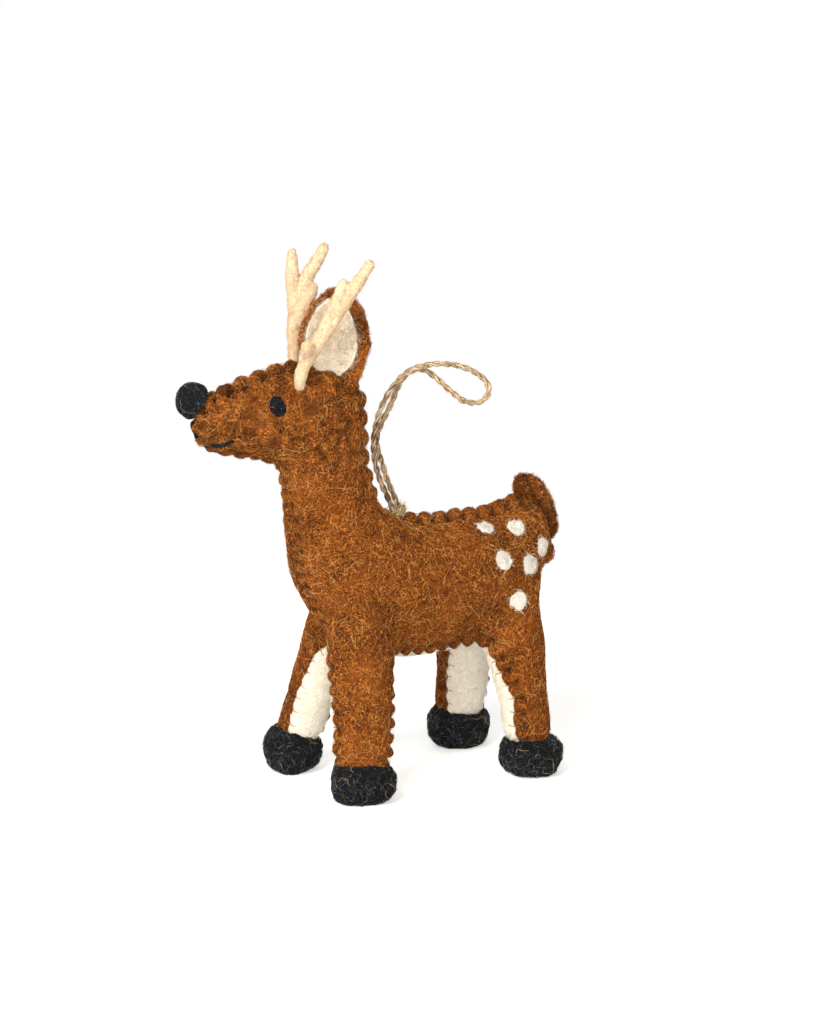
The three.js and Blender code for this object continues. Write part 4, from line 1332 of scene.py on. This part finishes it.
ring = add(tree, "GeometryNodeCurvePrimitiveCircle", {"Resolution": 10, "Radius": radius})
ring = {"Geometry": ring, "Name": "round", "Value": place["Factor"]}
ring = add(tree, "GeometryNodeStoreNamedAttribute", ring)
core = {"Geometry": core, "Name": "run", "Value": place["Length"]}
core = add(tree, "GeometryNodeStoreNamedAttribute", core)
both = add(tree, "GeometryNodeJoinGeometry")
for phase in (0.0, math.pi):
    angle = add(tree, "ShaderNodeMath", (turns, phase))
    sides = []
    for way, turned in ((outwards, "COSINE"), (sideways, "SINE")):
        size = add(tree, "ShaderNodeMath", (angle,), operation=turned)
        size = add(tree, "ShaderNodeMath", (size, reach), operation="MULTIPLY")
        sides.append(add(tree, "ShaderNodeVectorMath", {0: way, "Scale": size}, operation="SCALE"))
    offset = add(tree, "ShaderNodeVectorMath", sides)
    ply = add(tree, "GeometryNodeSetPosition", {"Geometry": core, "Offset": offset})
    ply = add(tree, "GeometryNodeCurveToMesh", {"Curve": ply, "Profile Curve": ring, "Fill Caps": True})
    tree.links.new(ply.outputs[0], both.inputs[0])
spun = add(tree, "GeometryNodeRealizeInstances", {"Geometry": both})
spun = add(tree, "GeometryNodeSetMaterial", {"Geometry": spun, "Material": given["Yarn"]})
add(tree, "NodeGroupOutput", {"Geometry": spun})

# Jute yarn: pale straw bast, streaked brown along its length where bits of bark are left in it
streak_length = 5 * MM
streaks_round = 1.6
soiling = 0.1
clean_reach = 20 * MM
jute_colours = [(0.41, "#4E3420"), (0.49, "#BE9A70"), (0.59, "#F3DDB9")]
loop_path = [knot_place + place * MM for place in smooth_path(loop_route, 8)]
loop_length = sum((b - a).length for a, b in zip(loop_path, loop_path[1:]))

jute, tree, shader = new_material("natural_jute_yarn", jute_colours[-1][1], 0.7, 0.3)
run = add(tree, "ShaderNodeAttribute", attribute_name="run").outputs["Fac"]
angle = add(tree, "ShaderNodeAttribute", attribute_name="round").outputs["Fac"]
angle = add(tree, "ShaderNodeMath", (angle, math.tau), operation="MULTIPLY")
parts = [add(tree, "ShaderNodeMath", (run, 1 / streak_length), operation="MULTIPLY")]
for turned in ("COSINE", "SINE"):
    part = add(tree, "ShaderNodeMath", (angle,), operation=turned)
    parts.append(add(tree, "ShaderNodeMath", (part, streaks_round), operation="MULTIPLY"))
along_yarn = add(tree, "ShaderNodeCombineXYZ", parts)
streaks = add(tree, "ShaderNodeTexNoise", {"Vector": along_yarn, "Scale": 2.2, "Detail": 4.0})
from_middle = add(tree, "ShaderNodeMath", (run, loop_length / 2), operation="SUBTRACT")
from_middle = add(tree, "ShaderNodeMath", (from_middle,), operation="ABSOLUTE")
soiled = add(tree, "ShaderNodeMapRange", {
    "Value": from_middle, "From Min": clean_reach, "From Max": loop_length / 2,
    "To Min": 0.0, "To Max": soiling,
})
fleck = add(tree, "ShaderNodeMath", (streaks, soiled), operation="SUBTRACT")
ramp = add(tree, "ShaderNodeValToRGB", {"Fac": fleck})
stops = ramp.color_ramp.elements
stops.new(0.5)
for stop, (place, colour) in zip(stops, jute_colours):
    stop.position = place
    stop.color = linear(colour)
tree.links.new(ramp.outputs["Color"], shader.inputs["Base Color"])
nap = add(tree, "ShaderNodeBump", {"Height": streaks, "Distance": 0.2 * MM, "Strength": 1.0})
tree.links.new(nap.outputs[0], shader.inputs["Normal"])
jute_dyes = [
    fibre_dye("tan_jute_fibre", "#D6B68A"),
    fibre_dye("straw_jute_fibre", "#F2E0BE"),
    fibre_dye("brown_jute_fibre", "#6E4E32"),
]
jute_fuzz = coat_of(density=0.7, length=2.6, radius=0.04, curl=1.2, lift=0.1, stray=0.35)
twine = {"Diameter": twine_diameter, "Pitch": ply_pitch, "Step": twine_step, "Yarn": jute}
mesh = made_by(twine_tree, line_mesh(loop_path), twine)
loop = finished("jute_loop", mesh, None, "loop")
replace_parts(loop, "hanging_loop")
loop_hair = grow("jute_loop_hair", loop.data, jute_fuzz, jute_dyes, "jute_twine", 5, body="loop")

# Knot: the two twine ends tied over each other, half sunk in the back seam, where they fray.
knot_turn = 1.25 * MM
knot_height = 1 * MM
knot_wave = 0.9 * MM
knot_turns = 1.6
knot_steps = 48
knot_fray = coat_of(density=3, length=4.5, radius=0.04, curl=2.5, lift=0.2, stray=1.6)
knot_path = []
for step in range(knot_steps + 1):
    angle = step / knot_steps * math.tau * knot_turns
    knot_path.append(knot_place + Vector((
        math.cos(angle) * knot_turn, math.sin(angle) * knot_turn * 0.8,
        knot_height + knot_wave * math.sin(angle * 1.5),
    )))
knot = finished("jute_knot", made_by(twine_tree, line_mesh(knot_path), twine), None)
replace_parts(knot, "loop_knot")
grow("jute_knot_hair", knot.data, knot_fray, jute_dyes, "jute_twine", 6)
